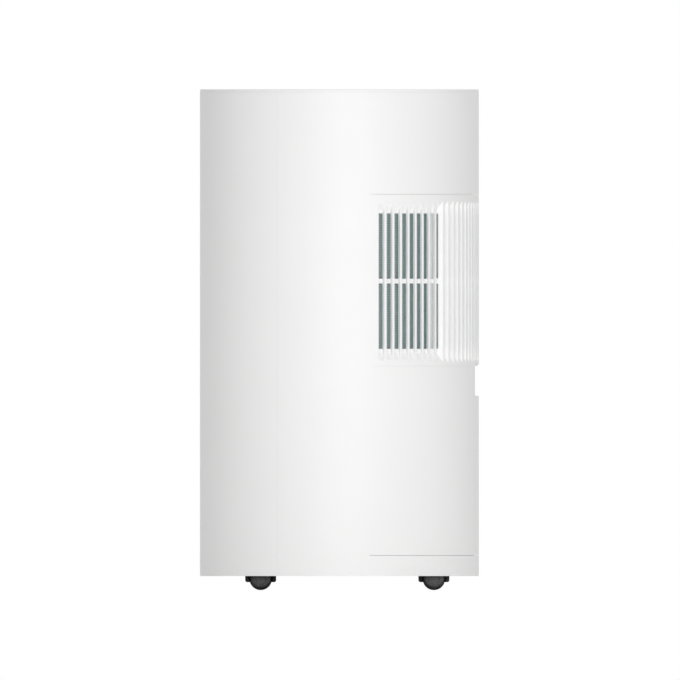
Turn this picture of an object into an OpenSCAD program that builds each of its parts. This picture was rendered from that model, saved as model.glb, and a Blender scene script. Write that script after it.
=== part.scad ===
// Portable air conditioner in a round cabinet: shells, intake grille, filter, top outlet,
// controls, cooling circuit, two blowers and four swivel casters.
// Z is up, the origin is on the floor at the centre of the base, -Y is the front, +Y the rear.

/* [Cabinet] */
// Outside diameter of the round cabinet
body_d = 396; // [384:2:420]
// Height of the top rim above the floor
body_top = 711; // [700:1:740]
// Height of the cabinet's lower edge above the floor
body_bottom = 20; // [18:1:22]
// Thickness of the moulded panels
wall = 2.6; // [2:0.1:3.4]
// Gap between two neighbouring rear panels, one above the other
seam = 0.4; // [0.3:0.1:2]
// Gap under the lowest rear panel
base_gap = 0.9; // [0.5:0.1:2]
// Gap between the panels and the lid's rim
rim_gap = 0.3; // [0.2:0.1:1]
// Gap at the upright joints, in degrees of arc
joint_deg = 0.12; // [0.05:0.01:0.3]
// Angle that the rear panels wrap to each side of the rear centre line
rear_half = 77.5; // [75:0.5:80]
// Angle that the front panel wraps to each side of the front centre line
front_half = 63.6; // [58:0.2:70]
// Height of the lowest seam above the floor
base_seam = 50; // [44:1:54]
// Height of the seam under the intake grille
mid_seam = 318; // [312:1:322]
// Height of the seam above the intake grille
upper_seam = 562; // [552:1:572]
// Thickness of the inner ledges and of the decks
ledge_t = 3; // [2:0.5:4]

/* [Intake grille] */
// Spacing of the ribs, in degrees of arc
rib_pitch = 3.47; // [3.2:0.01:3.6]
// Width of each rib's outer face
rib_w = 3.4; // [2.6:0.1:4]
// Depth of the grooves between the ribs
rib_depth = 5.4; // [4:0.1:7]
// Thickness of the grille's inner wall
grille_wall = 3.5; // [2.5:0.5:4]
// Fins on each side of the rear centre line that stand along the rear pull of the mould
rear_fins = 12; // [10:1:12]
// Angle from the grille's edge to the first groove's middle
edge_deg = 5.1; // [4:0.1:6]
// Direction of the side pull of the mould, from the side centre line
side_pull = 28; // [24:0.1:34]
// Plain band under the grooves
lower_band = 6.4; // [5:0.2:9]
// Plain band above the grooves
upper_band = 9; // [6:1:12]
// Length of the sloped run-out at each end of a groove
runout = 10; // [6:1:14]
// Distance from a groove's run-out to its slot
slot_margin = 8; // [5:1:12]
// How far a side slot widens behind its rib
slot_relief = 1.6; // [0:0.1:2]
// Height of the bar across the middle of the slots
mid_bar = 6.7; // [5:0.1:10]
// Radius of the grille's lower lip above the hand grip
lip_r = 5; // [3:0.5:5.5]

/* [Filter] */
// Thickness of the filter frame
filter_t = 3; // [2:0.5:4]
// Width of the filter frame's bars
filter_bar = 8; // [6:1:12]
// Angle of the filter's outer upright bars behind the side centre line
filter_post_deg = 43.7; // [42:0.1:48]

/* [Hand grip and rear ports] */
// Width of the hand-grip recess
grip_w = 92; // [80:1:98]
// Height of the hand-grip recess
grip_h = 42; // [36:1:46]
// Depth of the hand-grip recess from the cabinet's face
grip_depth = 24; // [18:1:28]
// Direction of the exhaust port, counted from the +X side
exhaust_deg = 112; // [111:0.5:114]
// Height of the exhaust port's centre
exhaust_z = 190; // [184:1:194]
// Inside radius of the exhaust collar
exhaust_r = 62; // [58:0.5:64]
// Thickness of the exhaust collar
collar_t = 4; // [3:0.5:5]
// Number of condenser intake slots
intake_slots = 9; // [7:1:9]
// Width of a condenser intake slot
intake_w = 4.4; // [3:0.2:5]
// Spacing of the condenser intake slots, in degrees of arc
intake_pitch = 2.6; // [2.2:0.1:2.7]
// Lower end of the condenser intake slots
intake_z0 = 96; // [90:1:110]
// Upper end of the condenser intake slots
intake_z1 = 250; // [200:1:256]
// Direction of the cord gland, the drain and the middle of the condenser intake
service_deg = 151; // [149:0.5:153]
// Bore radius of the cord gland
gland_r = 4; // [3:0.1:5]
// Bore radius of the drain outlet
drain_r = 6; // [4:0.1:7]

/* [Top] */
// Height of the lid's visible rim
rim_h = 3.4; // [2.6:0.1:5]
// Depth of the lid's dished deck below the rim
dish = 3; // [2:0.5:4]
// Width of the air outlet
outlet_w = 232; // [220:1:236]
// Depth of the air outlet from front to rear
outlet_d = 92; // [88:1:94]
// Distance of the outlet's middle behind the cabinet's axis
outlet_y = 32; // [30:1:34]
// Thickness of the outlet flap
flap_t = 6; // [5:0.5:7]
// Gap round the flap
flap_gap = 0.8; // [0.5:0.1:1.2]
// Width of the control panel
panel_w = 190; // [180:1:200]
// Depth of the control panel from front to rear
panel_d = 54; // [50:1:56]
// Thickness of the control panel
panel_t = 2.4; // [2:0.1:3]
// Distance of the control panel's middle in front of the cabinet's axis
panel_y = 101; // [98:1:106]
// Radius of a button
button_r = 7.5; // [6:0.1:8.5]
// Travel of a button
button_travel = 0.8; // [0.5:0.1:1]
// Spacing of the buttons
button_gap = 24; // [20:1:26]

/* [Outlet vanes] */
// Number of upright vanes
vanes = 5; // [5:1:5]
// Spacing of the vanes
vane_pitch = 42; // [38:1:43]
// Height of a vane
vane_h = 34; // [30:1:36]
// Thickness of a vane
vane_t = 2; // [1.6:0.1:2.6]
// Distance from a vane's pivot to its crank pin
crank = 12; // [10:0.5:12]

/* [Cooling circuit] */
// Radius of the evaporator blower's wheel
evap_wheel_r = 98; // [90:1:100]
// Radius of the condenser blower's wheel
cond_wheel_r = 76; // [70:1:78]
// Radius of the compressor's shell
comp_r = 54; // [50:1:56]
// Height of the compressor's shell
comp_h = 200; // [180:1:210]
// Radius of the refrigerant pipes
pipe_r = 4; // [3:0.5:5]
// Spacing of the coil fins
fin_pitch = 5; // [4:0.5:8]

/* [Casters] */
// Radius of a caster wheel
wheel_r = 16; // [15:0.5:17]
// Width of one caster wheel
wheel_w = 11; // [9:0.5:12]
// Distance from the swivel axis to the wheel's axle
trail = 11.2; // [9:0.1:12]
// Direction of the swivel axes, counted from the side centre line
caster_deg = 55; // [50:1:56]
// Length of the caster hood
hood_l = 44; // [42:0.5:44]
// Height of the hood's lower edge above the floor
hood_z0 = 11.3; // [9:0.1:13]
// Radius of the swivel stem
stem_r = 5; // [4:0.1:6]

/* [Hidden] */
$fn = 96;

run_gap = 0.05;          // radial clearance of a shaft in its bore
fit_gap = 0.3;           // clearance between parts that lie side by side
eps = 0.01;
big = 2000;

// Cabinet
body_r = body_d / 2;
inner_r = body_r - wall;
rear_a0 = 90 - rear_half;
rear_a1 = 90 + rear_half;
rear_b0 = rear_a0 + joint_deg / 2;
rear_b1 = rear_a1 - joint_deg / 2;
front_a0 = 270 - front_half;
front_a1 = 270 + front_half;
floor_r = inner_r - fit_gap;
floor_t = ledge_t;
floor_top = body_bottom + floor_t;
ring_t = 3;
ring_r0 = body_r - 10;
ring_top = base_seam + 10;
ledge_r0 = body_r - 12;
rim_z0 = body_top - rim_h;
panel_top = rim_z0 - rim_gap;
deck_top = body_top - dish;
deck_under = deck_top - ledge_t;
lid_ledge = deck_under - 15;
grille_ledge = upper_seam + 3;
deck_z = mid_seam - 4;
deck_r = body_r - 6;
mid_deck_top = deck_z + ledge_t;

// Intake grille
rib_deg = rib_w / body_r * 180 / PI;
gap_deg = rib_pitch - rib_deg;
groove_r = body_r - rib_depth;
grille_r0 = groove_r - grille_wall;
grille_z0 = mid_seam + seam / 2;
grille_z1 = upper_seam - seam / 2;
groove_z0 = grille_z0 + lower_band;
groove_z1 = grille_z1 - upper_band;
slot_z0 = groove_z0 + runout + slot_margin;
slot_z1 = groove_z1 - runout - slot_margin;
bar_z0 = (slot_z0 + slot_z1 - mid_bar) / 2;
bar_z1 = bar_z0 + mid_bar;
first_groove = rear_a0 + edge_deg;
first_fin = 90 - rear_fins * rib_pitch;
side_slots = floor((first_fin - rib_deg / 2 - first_groove + gap_deg / 2) / rib_pitch) - 1;
last_side = first_groove + (side_slots - 1) * rib_pitch;
turn_side = 0.55;
turn_rear = 0.5;
turn_inset = 0.5;
lip_in = 0.03;

// Filter, behind the grille
filter_r1 = grille_r0 - fit_gap;
filter_r0 = filter_r1 - filter_t;
filter_z0 = grille_z0 + 6;
filter_z1 = grille_z1 - 6;
filter_half = rear_half - 2;
mesh_t = 0.6;
housing_r1 = filter_r0 - fit_gap;
housing_r0 = housing_r1 - wall;
housing_margin = 0.5;
housing_post = 3;

// Lid, controls and outlet
outlet_y0 = outlet_y - outlet_d / 2;
outlet_y1 = outlet_y + outlet_d / 2;
collar_w = 4;
collar_z0 = deck_under - 5;
flap_z = deck_top - flap_t / 2;
flap_hinge_y = outlet_y1 - flap_gap - flap_t / 2;
flap_pin_r = 1.8;
pad_t = 4;
pocket_z = deck_top - panel_t;
pad_z0 = deck_under - pad_t;
button_stem_r = 3;
button_cap_z0 = pocket_z + button_travel + 0.2;
button_cap_z1 = deck_top + 1.2;
board_t = 1.6;
board_d = 24;
board_gap = 3;
button_x = [for (i = [-2 : 2]) i * button_gap * 1.5];
lens_w = 40;
lens_d = 14;
lens_y = -panel_y + 14;
keys_y = -panel_y - 9;

// Vanes
frame_wall = 4;
frame_z1 = collar_z0;
frame_h = 50;
frame_z0 = frame_z1 - frame_h;
vane_z = frame_z1 - 10 - vane_h / 2;
vane_y0 = outlet_y0 + 5;
vane_y1 = outlet_y1 - 1.5;
vane_pin_r = 2;
crank_pin_r = 1.5;
link_gap = 0.4;
link_t = 2.4;
vane_swing = 30;

// Evaporator side
evap_z = mid_deck_top + evap_wheel_r + 38;
evap_r0 = evap_wheel_r + 10;
evap_growth = 26;
coil_d = 34;
coil_room = 9.4;
sheet_t = 1.6;
scroll_t = 3;
evap_y0 = outlet_y0 - frame_wall;
evap_y1 = outlet_y1 + frame_wall;
evap_wheel_y0 = outlet_y0 + 7;
evap_wheel_y1 = outlet_y1 - 8;
evap_coil_y0 = evap_y1 + 5;
evap_coil_y1 = evap_coil_y0 + coil_d;
evap_coil_x = sqrt(pow(housing_r0 - coil_room, 2) - pow(evap_coil_y1, 2)) - sheet_t;
evap_coil_z0 = mid_deck_top;
evap_coil_z1 = upper_seam - 8;

// Condenser side
cond_y = -10;
cond_z = 172;
cond_r0 = cond_wheel_r + 10;
cond_growth = 18;
cond_coil_x0 = -(body_r - 48);
cond_coil_x1 = cond_coil_x0 + coil_d;
cond_x0 = cond_coil_x1 + 6;
cond_x1 = cond_x0 + 72;
cond_room = 8;
cond_out_y = 95;
cond_out_z0 = 130;
cond_out_z1 = 258;
cond_coil_y = 72;
cond_coil_z0 = floor_top;
cond_coil_z1 = 290;
cond_motor_r = 42;
cond_motor_l = 44;
evap_motor_r = 45;
evap_motor_l = 66;
shaft_r = 4;
shaft_in = 36;
hub_r = 14;
hub_h = 18;
cond_bends = 10;
evap_bends = 9;
cond_step = (cond_coil_z1 - cond_coil_z0) / (cond_bends + 0.5);
evap_step = (evap_coil_z1 - evap_coil_z0) / (evap_bends + 0.5);
collar_d0 = body_r - 33;
collar_d1 = body_r - 12;
port_r = exhaust_r + collar_t + 1;

// Hand grip, open to the rear and up to the seam under the grille
grip_z0 = mid_seam - grip_h;
grip_y0 = body_r - grip_depth;
grip_roof = deck_z - ledge_t;
grip_corner = 4;

// Compressor
comp_at = ring_r0 - comp_r - 6.5;
comp_deg = -41.8;
comp_x = comp_at * cos(comp_deg);
comp_y = comp_at * sin(comp_deg);
comp_z0 = 62;
foot_circle = comp_r + 12;
foot_deg = [18, 138, 258];
mount_z0 = 46;
mount_z1 = comp_z0 - 4;
foot_w = 28;
foot_t = 3;
grommet_r = 10;
stud_r = 3;
stud_in = 8;
accu_r = 23;
accu_deg = 75.2;
accu_x = comp_x + (comp_r + accu_r + 13) * cos(accu_deg);
accu_y = comp_y + (comp_r + accu_r + 13) * sin(accu_deg);
accu_z0 = 110;
accu_z1 = 235;
accu_link = 60;
pipe_z = 297;
hot_x = (cond_coil_x0 + cond_coil_x1) / 2 + 8;
warm_x = hot_x - 16;
cap_x = cond_coil_x0 + 5;
rise_x = evap_coil_x + sheet_t + 17.4;
pipe_y = (evap_coil_y0 + evap_coil_y1) / 2 - 10;
condenser_y = -(cond_coil_y + 16);

// Control box
box_w = 140;
box_y0 = -(sqrt(pow(inner_r, 2) - pow(box_w / 2, 2)) - 16.4);
box_y1 = box_y0 + 38;
box_h = 150;
box_wall = 3;

// Casters
hood_w = 32;
hood_top = wheel_r * 2 + 4;
well_z = hood_top + 1;
well_r = trail + hood_l / 2 + 4.3;
caster_at = ring_r0 - well_r - 0.4;
caster_x = caster_at * cos(caster_deg);
caster_y = caster_at * sin(caster_deg);
hood_sweep = well_r - 1.5;
socket_z = well_z + 19;
socket_wall = 5;
axle_r = 3;
post_r = 6;
post_deg = [15, 200, 258, 282];
post_at = body_r - 24;
screw_r = 1.9;
screw_sink = 1.8;
screw_in = 20;
gland_z = 80;
gland_wall = 5;
gland_l = 9.4;
gland_d = body_r - 0.6 - gland_l;
drain_z = 35;
drain_reach = 4;
drain_l = 12;
plug_l = 6;

// Helpers

// Ring segment between two radii and two heights, from angle a0 to a1
module arc_shell(r1, r0, z0, z1, a0, a1) {
  rotate([0, 0, a0])
    rotate_extrude(angle = a1 - a0)
      translate([r0, z0]) square([r1 - r0, z1 - z0]);
}

// Closed ring between two radii and two heights
module ring(r1, r0, z0, z1) {
  rotate_extrude() translate([r0, z0]) square([r1 - r0, z1 - z0]);
}

// Wall of a curved panel with inner ledges at the given heights
module panel_arc(z0, z1, a0, a1, ledges) {
  rotate([0, 0, a0 + joint_deg / 2])
    rotate_extrude(angle = a1 - a0 - joint_deg)
      union() {
        translate([inner_r, z0]) square([wall, z1 - z0]);
        for (z = ledges)
          translate([ledge_r0, z]) square([inner_r - ledge_r0 + eps, ledge_t]);
      }
}

// Upright cylinder between two heights
module post(x, y, r, z0, z1) {
  translate([x, y, z0]) cylinder(r = r, h = z1 - z0);
}

// Box between two corners
module block(a, b) {
  translate(a) cube(b - a);
}

// Rectangle with rounded corners, centred
module round_rect(w, h, r) {
  square([w - 2 * r, h], center = true);
  square([w, h - 2 * r], center = true);
  for (x = [-1, 1], y = [-1, 1])
    translate([x * (w / 2 - r), y * (h / 2 - r)]) circle(r = r, $fn = 32);
}

// Cylinder along +Y from y0 to y1
module rod_y(x, z, r, y0, y1) {
  translate([x, y0, z]) rotate([-90, 0, 0]) cylinder(r = r, h = y1 - y0);
}

// Cylinder along +X from x0 to x1
module rod_x(y, z, r, x0, x1) {
  translate([x0, y, z]) rotate([0, 90, 0]) cylinder(r = r, h = x1 - x0);
}

// Moves its children onto a radial axis, with +Z of the child pointing outwards
module radial(deg, z, d) {
  rotate([0, 0, deg]) translate([d, 0, z]) rotate([0, 90, 0]) children();
}

// Cut for one groove of the grille from surface angle a to b, along the mould's pull. Its two
// slots go through the inner wall, shorter by the inset at each end, and widen behind the rib
// by the relief; a blind groove has none.
module groove(a, b, pull, relief = 0, inset = 0, blind = false) {
  t0 = body_r * sin(a - pull);
  t1 = body_r * sin(b - pull);
  tm = (t0 + t1) / 2;
  skin = sqrt(pow(body_r, 2) - pow(tm, 2));
  bed = sqrt(pow(groove_r, 2) - pow(tm, 2));
  back = sqrt(pow(grille_r0, 2) - pow(tm, 2)) - 6;
  out = skin + 12;
  slope = runout / (skin - bed);
  k = 12 * slope;
  z0 = slot_z0 + inset;
  z1 = bar_z0 - inset;
  z2 = bar_z1 + inset;
  z3 = slot_z1 - inset;
  rotate([0, 0, pull]) translate([0, t1, 0]) rotate([90, 0, 0]) {
    linear_extrude(t1 - t0)
      polygon(concat(
        [[out, groove_z0 - k], [skin, groove_z0], [bed, groove_z0 + runout]],
        blind ? [] : [
          [bed, z0], [back, z0], [back, z1], [bed, z1], [bed, z2], [back, z2], [back, z3], [bed, z3]
        ],
        [[bed, groove_z1 - runout], [skin, groove_z1], [out, groove_z1 + k]]
      ));
    if (relief > 0)
      for (z = [[z0, z1], [z2, z3]])
        translate([back, z[0], -relief]) cube([bed - back, z[1] - z[0], relief + eps]);
  }
}

// All grooves of one half of the grille, from its +X edge to the rear centre line
module groove_half() {
  for (i = [0 : side_slots - 1]) {
    mid = first_groove + i * rib_pitch;
    groove(mid - gap_deg / 2, mid + gap_deg / 2, side_pull, relief = slot_relief);
  }
  turn_a = last_side + gap_deg / 2 + rib_deg;
  turn_b = first_fin - rib_deg / 2;
  // The turn between the two pulls is one wide groove: slotted along the side pull, and
  // blind along the rear pull beside the first fin
  groove(turn_a, turn_a + (turn_b - turn_a) * turn_side, side_pull, inset = turn_inset);
  groove(turn_a + (turn_b - turn_a) * turn_rear, turn_b, 90, blind = true);
  for (i = [0 : rear_fins - 1]) {
    mid = first_fin + (i + 0.5) * rib_pitch;
    groove(mid - gap_deg / 2, mid + gap_deg / 2, 90);
  }
}

// Pipe through a list of points, with a slightly larger brazed ball at each bend
module pipe(points, r) {
  for (i = [0 : len(points) - 2]) {
    v = points[i + 1] - points[i];
    l = norm(v);
    translate(points[i]) rotate([0, acos(v[2] / l), atan2(v[1], v[0])]) cylinder(r = r, h = l, $fn = 24);
    if (i > 0) translate(points[i]) sphere(r = r + 0.5, $fn = 24);
  }
}

// Puts its children on each of the mid deck's posts
module at_posts() {
  for (a = post_deg) translate([post_at * cos(a), post_at * sin(a), 0]) children();
}

// Puts its children on each of the compressor's feet
module at_feet() {
  for (a = foot_deg) translate([comp_x + foot_circle * cos(a), comp_y + foot_circle * sin(a), 0]) children();
}

// Outline of a comb of fins across a thin spine, w wide and d deep
function comb(w, d, pitch, t) =
  let (n = floor((w - t) / pitch), x0 = -(n * pitch + t) / 2, s = 0.6)
  concat(
    [for (i = [0 : n], p = [[0, -s], [0, -d / 2], [t, -d / 2], [t, -s]]) [x0 + i * pitch + p[0], p[1]]],
    [for (j = [0 : n], p = [[t, s], [t, d / 2], [0, d / 2], [0, s]]) [x0 + (n - j) * pitch + p[0], p[1]]]
  );

// Points of a volute whose radius grows from r by grow, between two angles
function volute(r, grow, a0, a1, steps) =
  [for (i = [0 : steps]) let (a = a0 + (a1 - a0) * i / steps, q = r + grow * i / steps)
    [q * cos(a), q * sin(a)]];

// Blower wheel round +Z: back plate, curved blades and front ring
module blower_wheel(r, h, blades) {
  difference() {
    union() {
      cylinder(r = r - 6, h = 2);
      cylinder(r = hub_r, h = hub_h);
      translate([0, 0, h - 5]) ring(r, r - 3, 0, 5);
      ring(r - 2, r - 7, 0, 2);
      for (i = [0 : blades - 1])
        rotate([0, 0, i * 360 / blades]) translate([r - 9, 5, 1])
          rotate([0, 0, -110]) arc_shell(9, 7.8, 0, h - 2, 40, 130);
    }
    translate([0, 0, -1]) cylinder(r = shaft_r, h = h);
  }
}

// Electric motor round +Z with a stepped can and a ventilated end
module motor_can(r, h) {
  difference() {
    union() {
      cylinder(r = r, h = h * 0.3);
      translate([0, 0, h * 0.3 - eps]) cylinder(r = r - 3, h = h * 0.45);
      translate([0, 0, h * 0.75 - 2 * eps]) cylinder(r = r * 0.6, h = h * 0.25);
    }
    for (i = [0 : 7])
      rotate([0, 0, i * 45 + 22.5]) translate([r * 0.78, 0, h * 0.6]) cylinder(r = 4, h = h, $fn = 24);
    translate([0, 0, -1]) cylinder(r = shaft_r + run_gap, h = h * 0.9);
  }
}

// Upright can whose ends are crowned
module domed_can(r, h, crown) {
  ball = (r * r + crown * crown) / (2 * crown);
  translate([0, 0, crown]) cylinder(r = r, h = h - 2 * crown);
  for (s = [0, 1])
    translate([0, 0, h / 2]) mirror([0, 0, s]) intersection() {
      translate([0, 0, h / 2 - ball]) sphere(r = ball);
      translate([0, 0, h / 2 - crown - eps]) cylinder(r = r, h = crown + 1);
    }
}

// Coil's end sheets and return bends, n bends on each end, for a coil w wide and d deep
module coil_ends(w, d, z0, z1, n) {
  step = (z1 - z0) / (n + 0.5);
  for (s = [-1, 1]) {
    translate([s * (w + sheet_t) / 2 - sheet_t / 2, -d / 2, z0]) cube([sheet_t, d, z1 - z0]);
    for (i = [0 : n - 1])
      translate([s * (w / 2 + sheet_t - 0.1), 0, z0 + (i + 0.75) * step]) rotate([0, 0, s * 90 - 90])
        rotate_extrude(angle = 180, start = -90) translate([d / 4, 0]) circle(r = 3.4, $fn = 24);
  }
}

// Cabinet shells

module front_panel() color("white")
  panel_arc(body_bottom, panel_top, front_a0, front_a1, [ring_top, deck_z - ledge_t, lid_ledge]);

module side_panel_right() color("white")
  panel_arc(body_bottom, panel_top, front_a1 - 360, rear_a0, [ring_top, deck_z - ledge_t, lid_ledge]);

module side_panel_left() color("white")
  panel_arc(body_bottom, panel_top, rear_a1, front_a0, [ring_top, deck_z - ledge_t, lid_ledge]);

module rear_upper_panel() color("white")
  panel_arc(upper_seam + seam / 2, panel_top, rear_a0, rear_a1, [grille_ledge, lid_ledge]);

// Rear shell with the hand grip's pocket, the exhaust port's well and the condenser intake
module rear_lower_panel() color("white") {
  top = mid_seam - seam / 2;
  difference() {
    union() {
      panel_arc(base_seam, top, rear_a0, rear_a1, [ring_top, deck_z - ledge_t]);
      intersection() {
        block([-grip_w / 2 - wall, grip_y0 - wall, grip_z0 - wall],
          [grip_w / 2 + wall, body_r, grip_roof + ledge_t]);
        translate([0, 0, grip_z0 - wall - 1]) cylinder(r = body_r - wall / 2, h = grip_h + 20);
      }
      // Well round the exhaust port
      intersection() {
        radial(exhaust_deg, exhaust_z, collar_d1 - 12) cylinder(r = port_r + wall, h = 40);
        translate([0, 0, base_seam]) cylinder(r = body_r - wall / 2, h = top - base_seam);
      }
    }
    // Pocket of the hand grip
    translate([0, body_r + 5, 0]) rotate([90, 0, 0])
      linear_extrude(grip_depth + 5) grip_pocket(grip_roof);
    // Opening of the pocket through the shell, up to the seam
    translate([0, body_r + 5, 0]) rotate([90, 0, 0])
      linear_extrude(wall + 8 + 5) grip_pocket(top + 5);
    // Exhaust port
    radial(exhaust_deg, exhaust_z, body_r - 40) cylinder(r = port_r, h = 60);
    // Condenser intake
    for (i = [0 : intake_slots - 1])
      rotate([0, 0, service_deg + (i - (intake_slots - 1) / 2) * intake_pitch])
        block([body_r - 20, -intake_w / 2, intake_z0], [body_r + 5, intake_w / 2, intake_z1]);
    // Cord gland
    radial(service_deg, gland_z, body_r - 20) cylinder(r = gland_r + gland_wall, h = 40);
  }
}

// Outline of the hand-grip pocket in width and height, with rounded lower corners
module grip_pocket(z1) {
  c = grip_corner;
  translate([0, (grip_z0 + z1) / 2]) square([grip_w - 2 * c, z1 - grip_z0], center = true);
  translate([0, (grip_z0 + c + z1) / 2]) square([grip_w, z1 - grip_z0 - c], center = true);
  for (s = [-1, 1]) translate([s * (grip_w / 2 - c), grip_z0 + c]) circle(r = c, $fn = 32);
}

module intake_grille() color("white") {
  lip_deg = asin((grip_w / 2) / body_r);
  difference() {
    union() {
      arc_shell(body_r, groove_r - eps, grille_z0, grille_z1, rear_b0, rear_b1);
      arc_shell(groove_r, grille_r0, grille_z0, grille_z1, rear_b0, rear_b1);
    }
    groove_half();
    mirror([1, 0, 0]) groove_half();
    // Rounded lip over the hand grip
    rotate([0, 0, 90 - lip_deg]) rotate_extrude(angle = 2 * lip_deg)
      difference() {
        translate([body_r - lip_r, grille_z0 - 1]) square([lip_r + 2, lip_r + 1]);
        translate([body_r - lip_r + lip_in, grille_z0 + lip_r]) circle(r = lip_r, $fn = 48);
      }
  }
}

// Start and end angles of the filter's four fields between its upright bars
function filter_fields() =
  let (bar = filter_bar / filter_r1 * 180 / PI, a = filter_post_deg)
  [[90 - filter_half + bar, a - bar / 2], [a + bar / 2, 90 - bar / 2],
   [90 + bar / 2, 180 - a - bar / 2], [180 - a + bar / 2, 90 + filter_half - bar]];

module filter_frame() color("whitesmoke")
  difference() {
    arc_shell(filter_r1, filter_r0, filter_z0, filter_z1, 90 - filter_half, 90 + filter_half);
    for (f = filter_fields())
      arc_shell(filter_r1 + 5, filter_r0 - 5, filter_z0 + filter_bar, filter_z1 - filter_bar, f[0], f[1]);
  }

module filter_mesh() color("teal") {
  r = (filter_r0 + filter_r1) / 2;
  for (f = filter_fields())
    arc_shell(r + mesh_t / 2, r - mesh_t / 2, filter_z0 + filter_bar, filter_z1 - filter_bar, f[0], f[1]);
}

// Curved tray that the filter slides into, with a sill on the mid deck
module filter_housing() color("whitesmoke")
  difference() {
    rotate([0, 0, rear_a0 + housing_margin])
      rotate_extrude(angle = rear_a1 - rear_a0 - 2 * housing_margin)
        polygon([
          [housing_r0, mid_deck_top], [housing_r1, mid_deck_top], [housing_r1, filter_z1 + fit_gap],
          [filter_r1, filter_z1 + fit_gap], [filter_r1, grille_ledge], [housing_r0, grille_ledge]
        ]);
    arc_shell(housing_r1 + 1, housing_r0 - 1, filter_z0 + filter_bar, filter_z1 - filter_bar,
      90 - filter_half + housing_post, 90 + filter_half - housing_post);
  }

// Base and decks

module base_pan() color("white") {
  difference() {
    union() {
      post(0, 0, floor_r, body_bottom, floor_top);
      arc_shell(body_r, floor_r - 2, body_bottom, floor_top, rear_b0, rear_b1);
      arc_shell(body_r, inner_r, body_bottom, base_seam - base_gap, rear_b0, rear_b1);
      ring(ring_r0 + ring_t, ring_r0, floor_top - eps, ring_top);
      for (x = [-1, 1], y = [-1, 1]) {
        post(x * caster_x, y * caster_y, well_r + wall, body_bottom, well_z + 3);
        post(x * caster_x, y * caster_y, stem_r + socket_wall, well_z, socket_z);
      }
      at_feet() post(0, 0, grommet_r + 1, floor_top - eps, mount_z0);
      radial(service_deg, drain_z, ring_r0 - drain_reach) cylinder(r = drain_r + 2.4, h = drain_l);
    }
    for (x = [-1, 1], y = [-1, 1]) {
      post(x * caster_x, y * caster_y, well_r, body_bottom - 1, well_z);
      post(x * caster_x, y * caster_y, stem_r + run_gap, well_z - 1, socket_z + 1);
    }
    radial(service_deg, drain_z, ring_r0 - 10) cylinder(r = drain_r, h = 40);
    radial(service_deg, drain_z, ring_r0 - drain_reach + drain_l) cylinder(r = drain_r + 6, h = 20);
    at_posts() {
      post(0, 0, screw_r + run_gap, body_bottom - 1, floor_top + 1);
      post(0, 0, screw_r * 2 + fit_gap, body_bottom - 1, body_bottom + screw_sink);
    }
    at_feet() post(0, 0, stud_r + run_gap, mount_z0 - stud_in - 2, mount_z0 + 1);
  }
}

module mid_deck() color("gainsboro") {
  difference() {
    union() {
      post(0, 0, deck_r, deck_z, mid_deck_top);
      at_posts() post(0, 0, post_r, floor_top, deck_z + eps);
    }
    // Notch round the hand grip
    block([-grip_w / 2 - wall - fit_gap, grip_y0 - wall - fit_gap, deck_z - 1],
      [grip_w / 2 + wall + fit_gap, big, mid_deck_top + 1]);
    at_posts() post(0, 0, screw_r, floor_top - 1, floor_top + screw_in + 4);
    // Openings for the pipes
    post(rise_x, pipe_y, pipe_r + 3, deck_z - 1, mid_deck_top + 1);
    post(cap_x, condenser_y, pipe_r + 3, deck_z - 1, mid_deck_top + 1);
  }
}

module housing_screws() color("silver")
  at_posts() {
    post(0, 0, screw_r, body_bottom + screw_sink - eps, floor_top + screw_in);
    post(0, 0, screw_r * 2, body_bottom + 0.2, body_bottom + screw_sink);
  }

module cord_gland() color("dimgray")
  difference() {
    union() {
      radial(service_deg, gland_z, gland_d) cylinder(r = gland_r + gland_wall - run_gap, h = gland_l);
      radial(service_deg, gland_z, gland_d - 1.5) cylinder(r = gland_r + gland_wall + 3, h = 5);
    }
    radial(service_deg, gland_z, body_r - 20) cylinder(r = gland_r, h = 40);
  }

module drain_plug() color("dimgray") {
  seat = ring_r0 - drain_reach + drain_l;
  radial(service_deg, drain_z, seat - plug_l) cylinder(r = drain_r - run_gap, h = plug_l + eps);
  radial(service_deg, drain_z, seat) cylinder(r = drain_r + 3, h = 1.8);
}

// Lid, flap and controls

module top_cover() color("white") {
  difference() {
    union() {
      rotate_extrude() polygon([
        [0, deck_under], [ring_r0, deck_under], [ring_r0, lid_ledge + ledge_t],
        [ring_r0 + ring_t, lid_ledge + ledge_t], [ring_r0 + ring_t, deck_under], [floor_r, deck_under],
        [floor_r, rim_z0], [body_r, rim_z0], [body_r, body_top - 0.8], [body_r - 0.8, body_top],
        [body_r - 9, body_top], [body_r - 12, deck_top], [0, deck_top]
      ]);
      // Collar round the outlet
      block([-outlet_w / 2 - collar_w, outlet_y0 - collar_w, collar_z0],
        [outlet_w / 2 + collar_w, outlet_y1 + collar_w, deck_under + eps]);
      // Pad under the control panel
      block([-panel_w / 2 - 4, -panel_y - panel_d / 2 - 4, pad_z0],
        [panel_w / 2 + 4, -panel_y + panel_d / 2 + 4, deck_under + eps]);
      // Standoffs of the key board
      for (s = [-1, 1]) post(s * (panel_w / 2 - 8), keys_y, 4, pad_z0 - board_gap, pad_z0 + eps);
    }
    block([-outlet_w / 2, outlet_y0, collar_z0 - 1], [outlet_w / 2, outlet_y1, body_top + 1]);
    rod_x(flap_hinge_y, flap_z, flap_pin_r + run_gap, -outlet_w / 2 - collar_w - 1,
      outlet_w / 2 + collar_w + 1);
    translate([0, -panel_y, pocket_z]) linear_extrude(20) round_rect(panel_w + 0.4, panel_d + 0.4, 10);
    for (x = button_x) post(x, keys_y, button_stem_r + run_gap, pad_z0 - 1, body_top);
  }
}

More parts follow.
